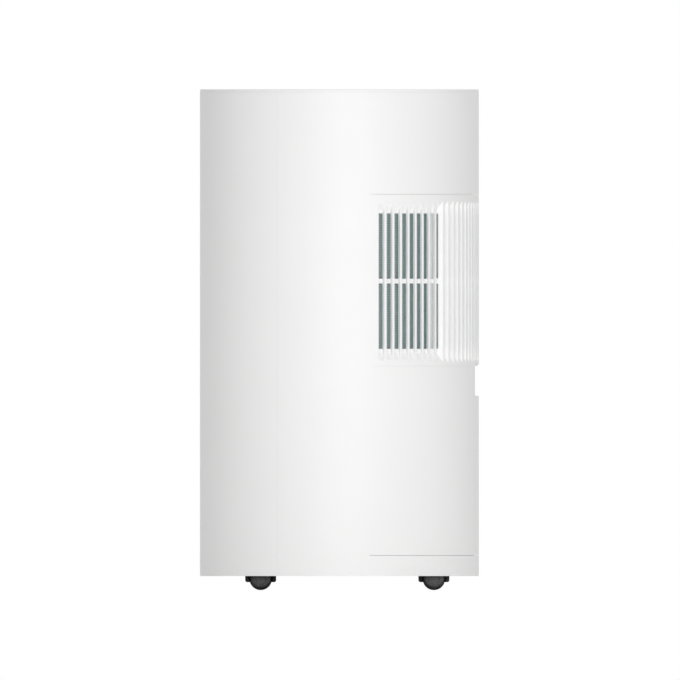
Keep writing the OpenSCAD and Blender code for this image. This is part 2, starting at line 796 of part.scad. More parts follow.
module control_panel() color("dimgray")
  difference() {
    translate([0, -panel_y, pocket_z]) linear_extrude(panel_t) round_rect(panel_w, panel_d, 10);
    for (x = button_x) post(x, keys_y, button_r + 0.2, pocket_z - 1, body_top);
    translate([0, lens_y, pocket_z - 1]) linear_extrude(20) round_rect(lens_w, lens_d, 3);
  }

module display_lens() color("black")
  translate([0, lens_y, pocket_z]) linear_extrude(panel_t) round_rect(lens_w - 0.2, lens_d - 0.2, 2.9);

module key_board() color("darkgreen")
  block([-panel_w / 2 + 2, keys_y - board_d / 2, pad_z0 - board_gap - board_t],
    [panel_w / 2 - 2, keys_y + board_d / 2, pad_z0 - board_gap]);

module button(i) color("gainsboro") {
  post(button_x[i], keys_y, button_r, button_cap_z0, button_cap_z1);
  post(button_x[i], keys_y, button_stem_r, pad_z0 - board_gap + button_travel, button_cap_z0 + eps);
}
module button_power() button(0);
module button_mode() button(1);
module button_down() button(2);
module button_up() button(3);
module button_fan() button(4);

module outlet_flap() color("white") {
  w = outlet_w / 2 - flap_gap;
  z0 = deck_top - flap_t;
  difference() {
    union() {
      block([-w, outlet_y0 + flap_gap, z0], [w, flap_hinge_y, deck_top]);
      rod_x(flap_hinge_y, flap_z, flap_t / 2, -w, w);
    }
    // Hollow under the flap's skin, with ribs left across it
    for (i = [-3 : 2])
      block([i * w / 3 + 1.5, outlet_y0 + flap_gap + 3, z0 - 1],
        [(i + 1) * w / 3 - 1.5, flap_hinge_y - flap_t / 2 - 3, deck_top - 2.4]);
  }
  rod_x(flap_hinge_y, flap_z, flap_pin_r, -outlet_w / 2 - collar_w, -w + eps);
  rod_x(flap_hinge_y, flap_z, flap_pin_r, w - eps, outlet_w / 2 + collar_w);
}

module flap_motor() color("silver") {
  x0 = outlet_w / 2 + collar_w + 0.3;
  difference() {
    rod_x(flap_hinge_y, flap_z - 14, 11, x0, x0 + 16);
    block([x0 - 1, flap_hinge_y - 20, deck_under], [x0 + 30, flap_hinge_y + 20, body_top]);
  }
}

module vane_frame() color("gainsboro")
  difference() {
    block([-outlet_w / 2 - frame_wall, outlet_y0 - frame_wall, frame_z0],
      [outlet_w / 2 + frame_wall, outlet_y1 + frame_wall, frame_z1]);
    block([-outlet_w / 2, outlet_y0, frame_z0 - 1], [outlet_w / 2, outlet_y1, frame_z1 + 1]);
    for (i = [0 : vanes - 1])
      rod_y((i - (vanes - 1) / 2) * vane_pitch, vane_z, vane_pin_r + run_gap,
        outlet_y0 - frame_wall - 1, outlet_y1 + frame_wall + 1);
  }

// One vane with its pivot pins and its crank pin for the link
module vane(i) color("white") {
  x = (i - (vanes - 1) / 2) * vane_pitch;
  edge = vane_h / 2 - vane_t / 2;
  translate([x, 0, 0]) {
    block([-vane_t / 2, vane_y0, vane_z - edge], [vane_t / 2, vane_y1, vane_z + edge]);
    for (s = [-1, 1]) rod_y(0, vane_z + s * edge, vane_t / 2, vane_y0, vane_y1);
    rod_y(0, vane_z, vane_pin_r + 1, vane_y0, vane_y1);
    rod_y(0, vane_z, vane_pin_r, outlet_y0 - frame_wall, vane_y0 + eps);
    rod_y(0, vane_z, vane_pin_r, vane_y1 - eps, outlet_y1 + frame_wall);
    rod_y(0, vane_z - crank, crank_pin_r, outlet_y0 + 0.8, vane_y0 + eps);
  }
}
module vane_1() vane(0);
module vane_2() vane(1);
module vane_3() vane(2);
module vane_4() vane(3);
module vane_5() vane(4);

// Bar that ties the crank pins; each upright slot lets a pin rise as its vane turns
module vane_link() color("gainsboro") {
  half = (vanes - 1) / 2 * vane_pitch;
  rise = crank * (1 - cos(vane_swing));
  y0 = outlet_y0 + 1.4;
  z0 = vane_z - crank;
  slot_r = crank_pin_r + link_gap;
  margin = crank_pin_r + 3;
  difference() {
    block([-half - margin, y0, z0 - margin], [half + margin, y0 + link_t, z0 + rise + margin]);
    for (i = [0 : vanes - 1])
      translate([(i - (vanes - 1) / 2) * vane_pitch, 0, 0]) {
        block([-slot_r, y0 - 1, z0], [slot_r, y0 + link_t + 1, z0 + rise]);
        for (z = [z0, z0 + rise]) rod_y(0, z, slot_r, y0 - 1, y0 + link_t + 1);
      }
  }
}

// Evaporator side

module evaporator_fins() color("silver")
  translate([0, (evap_coil_y0 + evap_coil_y1) / 2, evap_coil_z0]) linear_extrude(evap_coil_z1 - evap_coil_z0)
    polygon(comb(2 * evap_coil_x - 4, evap_coil_y1 - evap_coil_y0, fin_pitch, 0.8));

module evaporator_tubes() color("peru")
  translate([0, (evap_coil_y0 + evap_coil_y1) / 2, 0])
    coil_ends(2 * evap_coil_x, evap_coil_y1 - evap_coil_y0, evap_coil_z0, evap_coil_z1, evap_bends);

function evap_outline(t) =
  concat(volute(evap_r0 + t, evap_growth, 130, 360, 46),
    [[outlet_w / 2 + t, frame_z0 - evap_z], [-outlet_w / 2 - t, frame_z0 - evap_z],
     [-outlet_w / 2 - t, frame_z0 - frame_h - evap_z]]);

module evaporator_scroll() color("whitesmoke")
  difference() {
    union() {
      translate([0, evap_y1, evap_z]) rotate([90, 0, 0]) linear_extrude(evap_y1 - evap_y0)
        polygon(evap_outline(scroll_t));
      for (s = [-1, 1])
        block([s * 70 - 8, evap_y0, mid_deck_top], [s * 70 + 8, evap_y1, evap_z - 80]);
    }
    translate([0, evap_y1 - scroll_t, evap_z]) rotate([90, 0, 0])
      linear_extrude(evap_y1 - evap_y0 - 2 * scroll_t) polygon(evap_outline(0));
    block([-outlet_w / 2, evap_y0 + scroll_t, frame_z0 - 6],
      [outlet_w / 2, evap_y1 - scroll_t, frame_z0 + 6]);
    rod_y(0, evap_z, evap_wheel_r - 14, evap_y1 - scroll_t - 1, evap_y1 + 1);
    rod_y(0, evap_z, 12, evap_y0 - 1, evap_y0 + scroll_t + 1);
  }

module evaporator_wheel() color("lightgray")
  translate([0, evap_wheel_y0, evap_z]) rotate([-90, 0, 0])
    blower_wheel(evap_wheel_r, evap_wheel_y1 - evap_wheel_y0, 24);

module evaporator_shaft() color("silver")
  rod_y(0, evap_z, shaft_r, evap_y0 - shaft_in, evap_wheel_y0 + hub_h + 6);

module evaporator_motor() color("dimgray")
  translate([0, evap_y0, evap_z]) rotate([90, 0, 0]) motor_can(evap_motor_r, evap_motor_l);

// Condenser side

module condenser_fins() color("silver")
  translate([(cond_coil_x0 + cond_coil_x1) / 2, 0, cond_coil_z0]) rotate([0, 0, 90])
    linear_extrude(cond_coil_z1 - cond_coil_z0)
      polygon(comb(2 * cond_coil_y - 4, cond_coil_x1 - cond_coil_x0, fin_pitch, 0.8));

module condenser_tubes() color("peru")
  translate([(cond_coil_x0 + cond_coil_x1) / 2, 0, 0]) rotate([0, 0, 90])
    coil_ends(2 * cond_coil_y, cond_coil_x1 - cond_coil_x0, cond_coil_z0, cond_coil_z1, cond_bends);

function cond_outline(t) =
  concat(volute(cond_r0 + t, cond_growth, -30, -270, 48),
    [[cond_out_y - cond_y, cond_out_z1 + t - cond_z], [cond_out_y - cond_y, cond_out_z0 - t - cond_z]]);

module condenser_scroll() color("whitesmoke")
  difference() {
    union() {
      translate([cond_x0, cond_y, cond_z]) rotate([90, 0, 90]) linear_extrude(cond_x1 - cond_x0)
        polygon(cond_outline(scroll_t));
      for (y = [-50, 20])
        block([cond_x0, y, floor_top], [cond_x1, y + 14, cond_z - 60]);
    }
    translate([cond_x0 + scroll_t, cond_y, cond_z]) rotate([90, 0, 90])
      linear_extrude(cond_x1 - cond_x0 - 2 * scroll_t) polygon(cond_outline(0));
    block([cond_x0 + scroll_t, cond_out_y - 6, cond_out_z0],
      [cond_x1 - scroll_t, cond_out_y + 6, cond_out_z1]);
    rod_x(cond_y, cond_z, cond_wheel_r - 12, cond_x0 - 1, cond_x0 + scroll_t + 1);
    rod_x(cond_y, cond_z, 12, cond_x1 - scroll_t - 1, cond_x1 + 1);
  }

module condenser_wheel() color("lightgray")
  translate([cond_x1 - cond_room, cond_y, cond_z]) rotate([0, -90, 0])
    blower_wheel(cond_wheel_r, cond_x1 - cond_x0 - 2 * cond_room, 20);

module condenser_shaft() color("silver")
  rod_x(cond_y, cond_z, shaft_r, cond_x1 - cond_room - hub_h - 6, cond_x1 + shaft_in);

module condenser_motor() color("dimgray")
  translate([cond_x1, cond_y, cond_z]) rotate([0, 90, 0]) motor_can(cond_motor_r, cond_motor_l);

module exhaust_duct() color("whitesmoke")
  difference() {
    hull() {
      block([cond_x0, cond_out_y, cond_out_z0 - scroll_t], [cond_x1, cond_out_y + 1, cond_out_z1 + scroll_t]);
      radial(exhaust_deg, exhaust_z, collar_d0 - 1) cylinder(r = exhaust_r + collar_t, h = 1, $fn = 48);
    }
    hull() {
      block([cond_x0 + scroll_t, cond_out_y - 1, cond_out_z0], [cond_x1 - scroll_t, cond_out_y, cond_out_z1]);
      radial(exhaust_deg, exhaust_z, collar_d0) cylinder(r = exhaust_r, h = 1, $fn = 48);
    }
  }

module exhaust_collar() color("gainsboro")
  difference() {
    radial(exhaust_deg, exhaust_z, collar_d0) cylinder(r = exhaust_r + collar_t, h = collar_d1 - collar_d0);
    radial(exhaust_deg, exhaust_z, collar_d0 - 1) cylinder(r = exhaust_r, h = 60);
  }

// Compressor and pipes

module compressor() color("dimgray")
  translate([comp_x, comp_y, 0]) {
    translate([0, 0, comp_z0]) domed_can(comp_r, comp_h, comp_r * 0.3);
    post(0, 0, 14, comp_z0 + comp_h - 6, comp_z0 + comp_h + 4);
    difference() {
      union() {
        for (a = foot_deg) rotate([0, 0, a]) {
          block([0, -foot_w / 2, mount_z1], [foot_circle, foot_w / 2, mount_z1 + foot_t]);
          post(foot_circle, 0, foot_w / 2, mount_z1, mount_z1 + foot_t);
        }
        post(0, 0, comp_r * 0.6, mount_z1, comp_z0 + 12);
      }
      for (a = foot_deg) rotate([0, 0, a])
        post(foot_circle, 0, stud_r + run_gap, mount_z1 - 1, mount_z1 + foot_t + 1);
    }
  }

// Rubber grommets and the studs with their nuts
module compressor_mounts() color("black")
  at_feet() {
    post(0, 0, grommet_r, mount_z0, mount_z1);
    post(0, 0, stud_r, mount_z0 - stud_in, mount_z1 + foot_t + 7);
    post(0, 0, stud_r * 2, mount_z1 + foot_t, mount_z1 + foot_t + 4);
  }

// Suction accumulator with the bracket that carries it on the compressor's shell
module accumulator() color("dimgray") {
  along = atan2(accu_y - comp_y, accu_x - comp_x);
  reach = norm([accu_x - comp_x, accu_y - comp_y]);
  translate([accu_x, accu_y, accu_z0]) domed_can(accu_r, accu_z1 - accu_z0, accu_r * 0.5);
  difference() {
    translate([comp_x, comp_y, accu_z0 + accu_link]) rotate([0, 0, along])
      block([comp_r - 6, -12, 0], [reach - accu_r + 4, 12, 24]);
    post(comp_x, comp_y, comp_r + run_gap, comp_z0, comp_z0 + comp_h);
  }
}

module refrigerant_lines() color("peru") {
  cond_sheet = -cond_coil_y - sheet_t;
  evap_sheet = evap_coil_x + sheet_t;
  hot_z = cond_coil_z0 + (cond_bends - 0.75) * cond_step;
  warm_z = hot_z - cond_step;
  cold_z = evap_coil_z0 + 1.25 * evap_step;
  run_z = accu_z1 + 12;
  cap_z = mid_deck_top + 10;
  // Discharge line from the compressor to the condenser
  pipe([[comp_x, comp_y, comp_z0 + comp_h + 4], [comp_x, comp_y, pipe_z], [hot_x, condenser_y, pipe_z],
    [hot_x, condenser_y, hot_z], [hot_x, cond_sheet, hot_z]], pipe_r);
  // Suction line from the evaporator to the accumulator
  pipe([[accu_x, accu_y, accu_z1], [accu_x, accu_y, run_z], [rise_x, pipe_y, run_z],
    [rise_x, pipe_y, cold_z], [evap_sheet, pipe_y, cold_z]], pipe_r);
  // Capillary line from the condenser to the evaporator
  pipe([[warm_x, cond_sheet, warm_z], [warm_x, condenser_y, warm_z], [cap_x, condenser_y, cap_z],
    [cap_x, pipe_y, cap_z], [-rise_x, pipe_y, cold_z], [-evap_sheet, pipe_y, cold_z]], pipe_r / 2);
}

module control_box() color("gainsboro")
  difference() {
    block([-box_w / 2, box_y0, mid_deck_top], [box_w / 2, box_y1, mid_deck_top + box_h]);
    block([-box_w / 2 + box_wall, box_y0 - box_wall, mid_deck_top + box_wall],
      [box_w / 2 - box_wall, box_y1 - box_wall, mid_deck_top + box_h - box_wall]);
  }

// Power board on the back of its box, with a capacitor and a relay
module circuit_board() color("darkgreen") {
  back = box_y1 - box_wall;
  front = back - 3;
  margin = box_wall + 7;
  block([-box_w / 2 + margin, front, mid_deck_top + margin],
    [box_w / 2 - margin, back, mid_deck_top + box_h - margin]);
  rod_y(-36, mid_deck_top + 90, 16, front - 28, front);
  block([10, front - 16, mid_deck_top + 30], [50, front, mid_deck_top + 70]);
}

// Casters

module caster_hood(sx, sy) color("dimgray")
  translate([sx * caster_x, sy * caster_y, 0]) {
    difference() {
      union() {
        intersection() {
          translate([-hood_w / 2, trail, (hood_z0 + hood_top) / 2]) rotate([90, 0, 90])
            linear_extrude(hood_w) round_rect(hood_l, hood_top - hood_z0, 5);
          post(0, 0, hood_sweep, hood_z0 - 1, hood_top + 1);
        }
        post(0, 0, stem_r, hood_top - 1, socket_z - 1);
        post(0, 0, stem_r + 3, hood_top - 1, hood_top + 0.7);
      }
      rod_x(trail, wheel_r, wheel_r + 1.5, -wheel_w - 2.2, wheel_w + 2.2);
      rod_x(trail, wheel_r, axle_r, -hood_w, hood_w);
    }
    rod_x(trail, wheel_r, axle_r, -hood_w / 2 + 0.6, hood_w / 2 - 0.6);
  }

// Two domed wheels side by side on one axle
module caster_wheel(sx, sy) color("black")
  translate([sx * caster_x, sy * caster_y + trail, wheel_r])
    for (s = [0, 1]) mirror([s, 0, 0]) rotate([0, 90, 0])
      rotate_extrude() polygon([
        [axle_r + run_gap, 0.6], [wheel_r - 1, 0.6], [wheel_r, 1.6], [wheel_r, wheel_w - 2.6],
        [wheel_r - 1.2, wheel_w - 1.2], [wheel_r - 3.4, wheel_w - 0.6], [axle_r + 4, wheel_w + 0.8],
        [axle_r + run_gap, wheel_w + 1]
      ]);

module caster_hood_fr() caster_hood(1, -1);
module caster_wheel_fr() caster_wheel(1, -1);
module caster_hood_fl() caster_hood(-1, -1);
module caster_wheel_fl() caster_wheel(-1, -1);
module caster_hood_rr() caster_hood(1, 1);
module caster_wheel_rr() caster_wheel(1, 1);
module caster_hood_rl() caster_hood(-1, 1);
module caster_wheel_rl() caster_wheel(-1, 1);

front_panel();
side_panel_right();
side_panel_left();
rear_upper_panel();
rear_lower_panel();
intake_grille();
filter_frame();
filter_mesh();
filter_housing();
base_pan();
mid_deck();
top_cover();
control_panel();
display_lens();
key_board();
button_power();
button_mode();
button_down();
button_up();
button_fan();
outlet_flap();
flap_motor();
vane_frame();
vane_1();
vane_2();
vane_3();
vane_4();
vane_5();
vane_link();
evaporator_fins();
evaporator_tubes();
evaporator_scroll();
evaporator_wheel();
evaporator_shaft();
evaporator_motor();
condenser_fins();
condenser_tubes();
condenser_scroll();
condenser_wheel();
condenser_shaft();
condenser_motor();
exhaust_duct();
exhaust_collar();
compressor();
compressor_mounts();
accumulator();
refrigerant_lines();
control_box();
circuit_board();
cord_gland();
drain_plug();
housing_screws();
caster_hood_fr();
caster_wheel_fr();
caster_hood_fl();
caster_wheel_fl();
caster_hood_rr();
caster_wheel_rr();
caster_hood_rl();
caster_wheel_rl();
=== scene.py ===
"""Portable air conditioner in a round white cabinet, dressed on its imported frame.

Every length in the classes is in millimetres; meshes are written in metres.
"""

from __future__ import annotations

import logging
import math
from dataclasses import dataclass
from enum import Enum
from typing import Any, Protocol, Sequence

import bmesh
import bpy
from bpy.types import ID, Material, Mesh, Node, NodeSocket, NodeTree, Object
from mathutils import Matrix, Vector


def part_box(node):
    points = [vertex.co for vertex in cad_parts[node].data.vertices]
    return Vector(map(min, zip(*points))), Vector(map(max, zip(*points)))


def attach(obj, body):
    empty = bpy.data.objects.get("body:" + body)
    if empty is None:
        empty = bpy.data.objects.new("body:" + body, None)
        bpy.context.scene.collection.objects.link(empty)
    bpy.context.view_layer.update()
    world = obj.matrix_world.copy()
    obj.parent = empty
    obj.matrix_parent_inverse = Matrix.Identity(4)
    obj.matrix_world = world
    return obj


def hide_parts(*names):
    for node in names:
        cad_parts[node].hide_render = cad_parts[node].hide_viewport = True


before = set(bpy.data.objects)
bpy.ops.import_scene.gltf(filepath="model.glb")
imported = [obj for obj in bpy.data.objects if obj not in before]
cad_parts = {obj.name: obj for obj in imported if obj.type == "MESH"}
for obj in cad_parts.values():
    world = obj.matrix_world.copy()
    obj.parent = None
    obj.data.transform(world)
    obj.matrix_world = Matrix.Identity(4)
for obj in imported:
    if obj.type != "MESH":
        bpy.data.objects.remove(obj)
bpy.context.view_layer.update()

log = logging.getLogger("scene")

MM = 0.001
# Edges that turn more than this are creased and rounded
HARD_EDGE = math.radians(20)
# The same for nodes that keep their own shapes; what counts as flat and as one point on them
NODE_EDGE = math.radians(30)
NODE_FLAT = math.radians(0.3)
NODE_WELD = 0.001
# Points of one shape that are closer than this, in millimetres, are one point
SAME_POINT = 1e-5
# How near to a joint, in degrees, an edge lies on it
ON_JOINT = 0.02
# How far, in millimetres, cutting shapes stand out of what they cut
CUT_PROUD = 5.0
CUT_CLEAR = 1.0
CLOUD_DETAIL = 3.0
MIRROR = Matrix.Scale(-1, 4, (1, 0, 0))
Pair = tuple[float, float]
Point = tuple[float, float, float]
Source = Node | NodeSocket


def linear(colour: str) -> tuple[float, float, float, float]:
    """Turn an sRGB hex colour to linear RGBA.

    Args:
        colour: Six hex digits with a leading hash.

    Returns:
        Red, green, blue and an alpha of 1.
    """
    parts = [int(colour[i : i + 2], 16) / 255 for i in (1, 3, 5)]
    red, green, blue = (c / 12.92 if c <= 0.04045 else ((c + 0.055) / 1.055) ** 2.4 for c in parts)
    return red, green, blue, 1.0


def add_node(
    tree: NodeTree,
    kind: str,
    settings: dict[str | int, Any] | None = None,
    links: dict[str | int, Source] | None = None,
) -> Node:
    """Add one node with its settings and its incoming links.

    Args:
        tree: Tree that the node goes into.
        kind: The node's type name, without the beginning that all share.
        settings: Values by property name, or else by input name or number.
        links: Output sockets, or nodes for their first output, by the input that they feed.

    Returns:
        The new node.
    """
    node = tree.nodes.new(f"ShaderNode{kind}")
    for key, value in (settings or {}).items():
        if isinstance(key, str) and hasattr(node, key):
            setattr(node, key, value)
        else:
            node.inputs[key].default_value = value
    for key, source in (links or {}).items():
        tree.links.new(source.outputs[0] if isinstance(source, Node) else source, node.inputs[key])
    return node


def start_material(name: str) -> tuple[Material, NodeTree, NodeSocket]:
    """Start a material on the object's own coordinates.

    Args:
        name: What the material is and how its surface was made.

    Returns:
        The material, its tree and the coordinates.
    """
    material = bpy.data.materials.new(name)
    material.use_nodes = True
    tree = material.node_tree
    tree.nodes.clear()
    return material, tree, add_node(tree, "TexCoord").outputs["Object"]


def close_material(
    tree: NodeTree,
    colours: tuple[str, str],
    share: Source,
    height: Source,
    relief: float,
    settings: dict[str | int, Any],
    gloss: Source | None = None,
) -> None:
    """Finish a material: two mixed colours, a bump, the shader and the output.

    Args:
        tree: The material's tree.
        colours: The two sRGB hex colours.
        share: How much of the second colour shows.
        height: The pattern that the bump follows.
        relief: Height of the bump in millimetres.
        settings: What the shader is set to.
        gloss: The pattern of its roughness, if that isn't even.
    """
    ends = {"data_type": "RGBA", 6: linear(colours[0]), 7: linear(colours[1])}
    tone = add_node(tree, "Mix", ends, {0: share})
    bump = add_node(tree, "Bump", {"Distance": relief * MM}, {"Height": height})
    links = {"Base Color": tone.outputs[2], "Normal": bump}
    if gloss is not None:
        links["Roughness"] = gloss
    shader = add_node(tree, "BsdfPrincipled", settings, links)
    add_node(tree, "OutputMaterial", {}, {"Surface": shader})


class Finish(Protocol):
    """Anything that can build its own material."""

    name: str

    def build(self) -> Material:
        """Make the material."""


def material_of(finish: Finish) -> Material:
    """Build a finish's material the first time it is asked for.

    Args:
        finish: The finish wanted.

    Returns:
        The one material that all pieces in this finish share.
    """
    return bpy.data.materials.get(finish.name) or finish.build()


@dataclass(frozen=True)
class MouldedPlastic:
    """Injection-moulded plastic with the fine grain of a spark-eroded tool.

    Real grain is 0.05 to 0.3 mm wide; it is drawn several times coarser so that it shows.
    """

    name: str
    colour: str
    shade: str
    roughness: float = 0.42
    specular: float = 0.5
    grain: float = 0.7
    relief: float = 0.006
    drift: float = 90.0
    gloss_drift: float = 0.03

    def build(self) -> Material:
        """Make the material: even colour, grain in the bump, slow drift in tone and gloss.

        Returns:
            The material.
        """
        material, tree, place = start_material(self.name)
        cloud, spark = (
            add_node(tree, "TexNoise", {"Scale": 1 / (size * MM), "Detail": detail}, {"Vector": place})
            for size, detail in ((self.drift, CLOUD_DETAIL), (self.grain, 2.0))
        )
        ends = {"To Min": self.roughness - self.gloss_drift, "To Max": self.roughness + self.gloss_drift}
        gloss = add_node(tree, "MapRange", ends, {"Value": cloud})
        close_material(
            tree, (self.colour, self.shade), cloud, spark, self.relief,
            {"Specular IOR Level": self.specular}, gloss,
        )
        return material


@dataclass(frozen=True)
class Metal:
    """Sheet, tube or casting whose surface keeps the lines of the tool that made it.

    Real tool lines are under 0.1 mm wide; they are drawn several times wider so that they show.
    """

    name: str
    colour: str
    tarnish: str
    roughness: float = 0.35
    metallic: float = 1.0
    line: Point = (0.5, 0.5, 6.0)
    relief: float = 0.01
    patch: float = 18.0
    patch_edge: Pair = (0.42, 0.72)
    polish: Pair = (-0.08, 0.1)

    def build(self) -> Material:
        """Make the material: stretched tool lines in bump and gloss, tarnish in patches.

        Returns:
            The material.
        """
        material, tree, place = start_material(self.name)
        scale = {"Scale": tuple(1 / (size * MM) for size in self.line)}
        stretch = add_node(tree, "Mapping", scale, {"Vector": place})
        lines, cloud = (
            add_node(tree, "TexNoise", {"Scale": size, "Detail": detail}, {"Vector": way})
            for size, detail, way in ((1.0, CLOUD_DETAIL, stretch), (1 / (self.patch * MM), 4.0, place))
        )
        ends = {"From Min": self.patch_edge[0], "From Max": self.patch_edge[1]}
        patches = add_node(tree, "MapRange", ends, {"Value": cloud})
        ends = {"To Min": self.roughness + self.polish[0], "To Max": self.roughness + self.polish[1]}
        gloss = add_node(tree, "MapRange", ends, {"Value": lines})
        close_material(
            tree, (self.colour, self.tarnish), patches, lines, self.relief,
            {"Metallic": self.metallic}, gloss,
        )
        return material


@dataclass(frozen=True)
class WovenScreen:
    """Open nylon weave stretched on the filter frame's curve, its holes painted in shade.

    A real one has threads about 1.2 mm apart; they are drawn 2.4 mm apart so that they show.
    """

    name: str = "nylon_woven_screen_painted_shade"
    thread: str = "#9FB4B3"
    # The holes are painted shade, standing for the dark inside behind the weave
    hole: str = "#5B6F70"
    pitch: float = 2.4
    radius: float = 187.3
    thread_edge: Pair = (-0.2, 0.75)
    relief: float = 0.15
    roughness: float = 0.6
    specular: float = 0.3

    def build(self) -> Material:
        """Make the material: crossed threads along the arc and the height, with painted shade between them.

        Returns:
            The material.
        """
        material, tree, place = start_material(self.name)
        axes = add_node(tree, "SeparateXYZ", {}, {0: place}).outputs
        angle = add_node(tree, "Math", {"operation": "ARCTAN2"}, {0: axes["Y"], 1: axes["X"]})
        turns = math.tau / self.pitch
        waves = {}
        for i, (way, factor) in enumerate(((angle, self.radius * turns), (axes["Z"], turns / MM))):
            phase = add_node(tree, "Math", {"operation": "MULTIPLY", 1: factor}, {0: way})
            waves[i] = add_node(tree, "Math", {"operation": "SINE"}, {0: phase})
        weave = add_node(tree, "Math", {"operation": "MAXIMUM"}, waves)
        ends = {"From Min": self.thread_edge[0], "From Max": self.thread_edge[1]}
        threads = add_node(tree, "MapRange", ends, {"Value": weave})
        # The holes take the painted shade, the threads their own teal
        close_material(
            tree, (self.hole, self.thread), threads, weave, self.relief,
            {"Roughness": self.roughness, "Specular IOR Level": self.specular},
        )
        return material


@dataclass(frozen=True)
class RolledPaper:
    """Pale paper floor that fades to the surround's white away from the object.

    Real fibres are under 0.1 mm wide; they are drawn as soft 2.5 mm lumps.
    """

    name: str = "paper_rolled_floor"
    colour: str = "#F8F8F7"
    fibre: float = 2.5
    relief: float = 0.05
    roughness: float = 0.85
    specular: float = 0.2
    fade: Pair = (350.0, 1300.0)

    def build(self) -> Material:
        """Make the material: paper near the object, the surround's white where only the eye looks.

        Returns:
            The material.
        """
        material, tree, place = start_material(self.name)
        far = add_node(tree, "VectorMath", {"operation": "LENGTH"}, {0: place})
        near, out = (distance * MM for distance in self.fade)
        ends = {"From Min": near, "From Max": out, "interpolation_type": "SMOOTHSTEP"}
        fade = add_node(tree, "MapRange", ends, {"Value": far.outputs["Value"]})
        seen = add_node(tree, "LightPath").outputs["Is Camera Ray"]
        shown = add_node(tree, "Math", {"operation": "MULTIPLY"}, {0: fade, 1: seen})
        scale = {"Scale": 1 / (self.fibre * MM), "Detail": CLOUD_DETAIL}
        fibre = add_node(tree, "TexNoise", scale, {"Vector": place})
        bump = add_node(tree, "Bump", {"Distance": self.relief * MM}, {"Height": fibre})
        settings = {
            "Base Color": linear(self.colour), "Roughness": self.roughness,
            "Specular IOR Level": self.specular,
        }
        paper = add_node(tree, "BsdfPrincipled", settings, {"Normal": bump})
        white = add_node(tree, "Emission", {"Color": (1, 1, 1, 1), "Strength": 1.0})
        mix = add_node(tree, "MixShader", {}, {0: shown, 1: paper, 2: white})
        add_node(tree, "OutputMaterial", {}, {"Surface": mix})
        return material


class Finishes(Enum):
    """Every finish on the appliance, and the floor's."""

    # Satin white skin; soft, wide highlights and no visible grain from afar
    CABINET = MouldedPlastic("abs_moulded_satin", "#F7F7F7", "#F5F5F5", 0.42, 0.32)
    # Brighter copy of the cabinet's white on the rib walls: painted light so they look bright between dark
    # slots
    GRILLE = MouldedPlastic("abs_moulded_grille_painted_light", "#FDFDFD", "#FBFBFB", 0.46, 0.24)
    # Plain white for the vanes and small mouldings, a little duller
    FINE = MouldedPlastic("abs_moulded_fine", "#EEF0F1", "#EAECED", 0.48)
    # Ivory-grey inner mouldings straight from the tool, matt
    INNER = MouldedPlastic("polypropylene_moulded", "#DADBDA", "#D2D3D2", 0.55, 0.4, 1.2, 0.02, 60)
    # Deep grey, mirror-like top of the control panel
    PANEL = MouldedPlastic("acrylic_polished_panel", "#2A2D30", "#26292C", 0.09, 0.55, 3.0, 0.0008, 120)
    # Nearly black display cover, glossier than the panel
    LENS = MouldedPlastic("polycarbonate_smoked_lens", "#0E1012", "#0A0B0D", 0.05, 0.6, 3.0, 0.0005, 120)
    # Milky light pipes of the pilot lights, unlit
    PILOT = MouldedPlastic("acrylic_moulded_light_pipe", "#B9C6C4", "#B2BFBD", 0.18, 0.5)
    # Pale grey key caps with a silky top
    KEY = MouldedPlastic("abs_moulded_key", "#D9DCDE", "#D3D6D8", 0.33, 0.5)
    # Nearly black caster hoods, matt from their coarse grain, without clear highlights
    HOOD = MouldedPlastic("nylon_moulded_hood", "#0F1011", "#141517", 0.46, 0.25, 0.6, 0.012, 12)
    # Black wheels polished by their mould; sharp reflections
    WHEEL = MouldedPlastic("nylon_polished_wheel", "#1B1C1E", "#222325", 0.3, 0.5, 2.0, 0.004, 10)
    # Matt black rubber of the mounts, gland and plug
    RUBBER = MouldedPlastic("rubber_moulded_black", "#1C1C1C", "#242424", 0.78, 0.3, 0.5, 0.02, 14)
    # Green lacquer over the boards' copper
    BOARD = MouldedPlastic("solder_mask_sprayed", "#1E5B35", "#184B2B", 0.32, 0.5, 1.5, 0.02, 9)
    # Black paint of the compressor, with a slight orange peel
    ENAMEL = MouldedPlastic("enamel_sprayed_black", "#17181A", "#202123", 0.3, 0.5, 2.2, 0.05, 30)
    # Grey-teal threads over painted shade in the holes, the dark inside seen through; dull and soft to the
    # eye
    SCREEN = WovenScreen()
    # Bluish-grey plating with faint rolling lines
    ZINC = Metal("steel_zinc_plated", "#B9BDC0", "#9DA1A4", 0.36, 1.0, (0.6, 0.6, 8.0), 0.008, 12)
    # Pressed motor cans under a thin grey lacquer
    CAN = Metal("steel_pressed_lacquered", "#6E7276", "#5C6064", 0.42, 0.8, (1.5, 1.5, 1.5), 0.015, 20)
    # Bright rolled fin stock
    FIN = Metal("aluminium_rolled_fin", "#CFD3D6", "#B6BABD", 0.3, 1.0, (4.0, 4.0, 0.5), 0.01, 25)
    # Drawn tube with brown heat marks near its joints
    COPPER = Metal("copper_drawn_tube", "#C6794C", "#7E4A33", 0.3, 1.0, (0.5, 0.5, 7.0), 0.008, 22)
    # Off-white floor, quite dull, with a soft shadow
    PAPER = RolledPaper()


def set_finish(obj: Object, finish: Finishes) -> None:
    """Put a finish on all of an object.

    Args:
        obj: A piece or a carried-over node.
        finish: The finish it takes.
    """
    material = material_of(finish.value)
    if not obj.material_slots:
        obj.data.materials.append(material)
    for slot in obj.material_slots:
        slot.material = material


class Edges(Enum):
    """Which edges are rounded."""

    HARD = "ANGLE"
    MARKED = "WEIGHT"


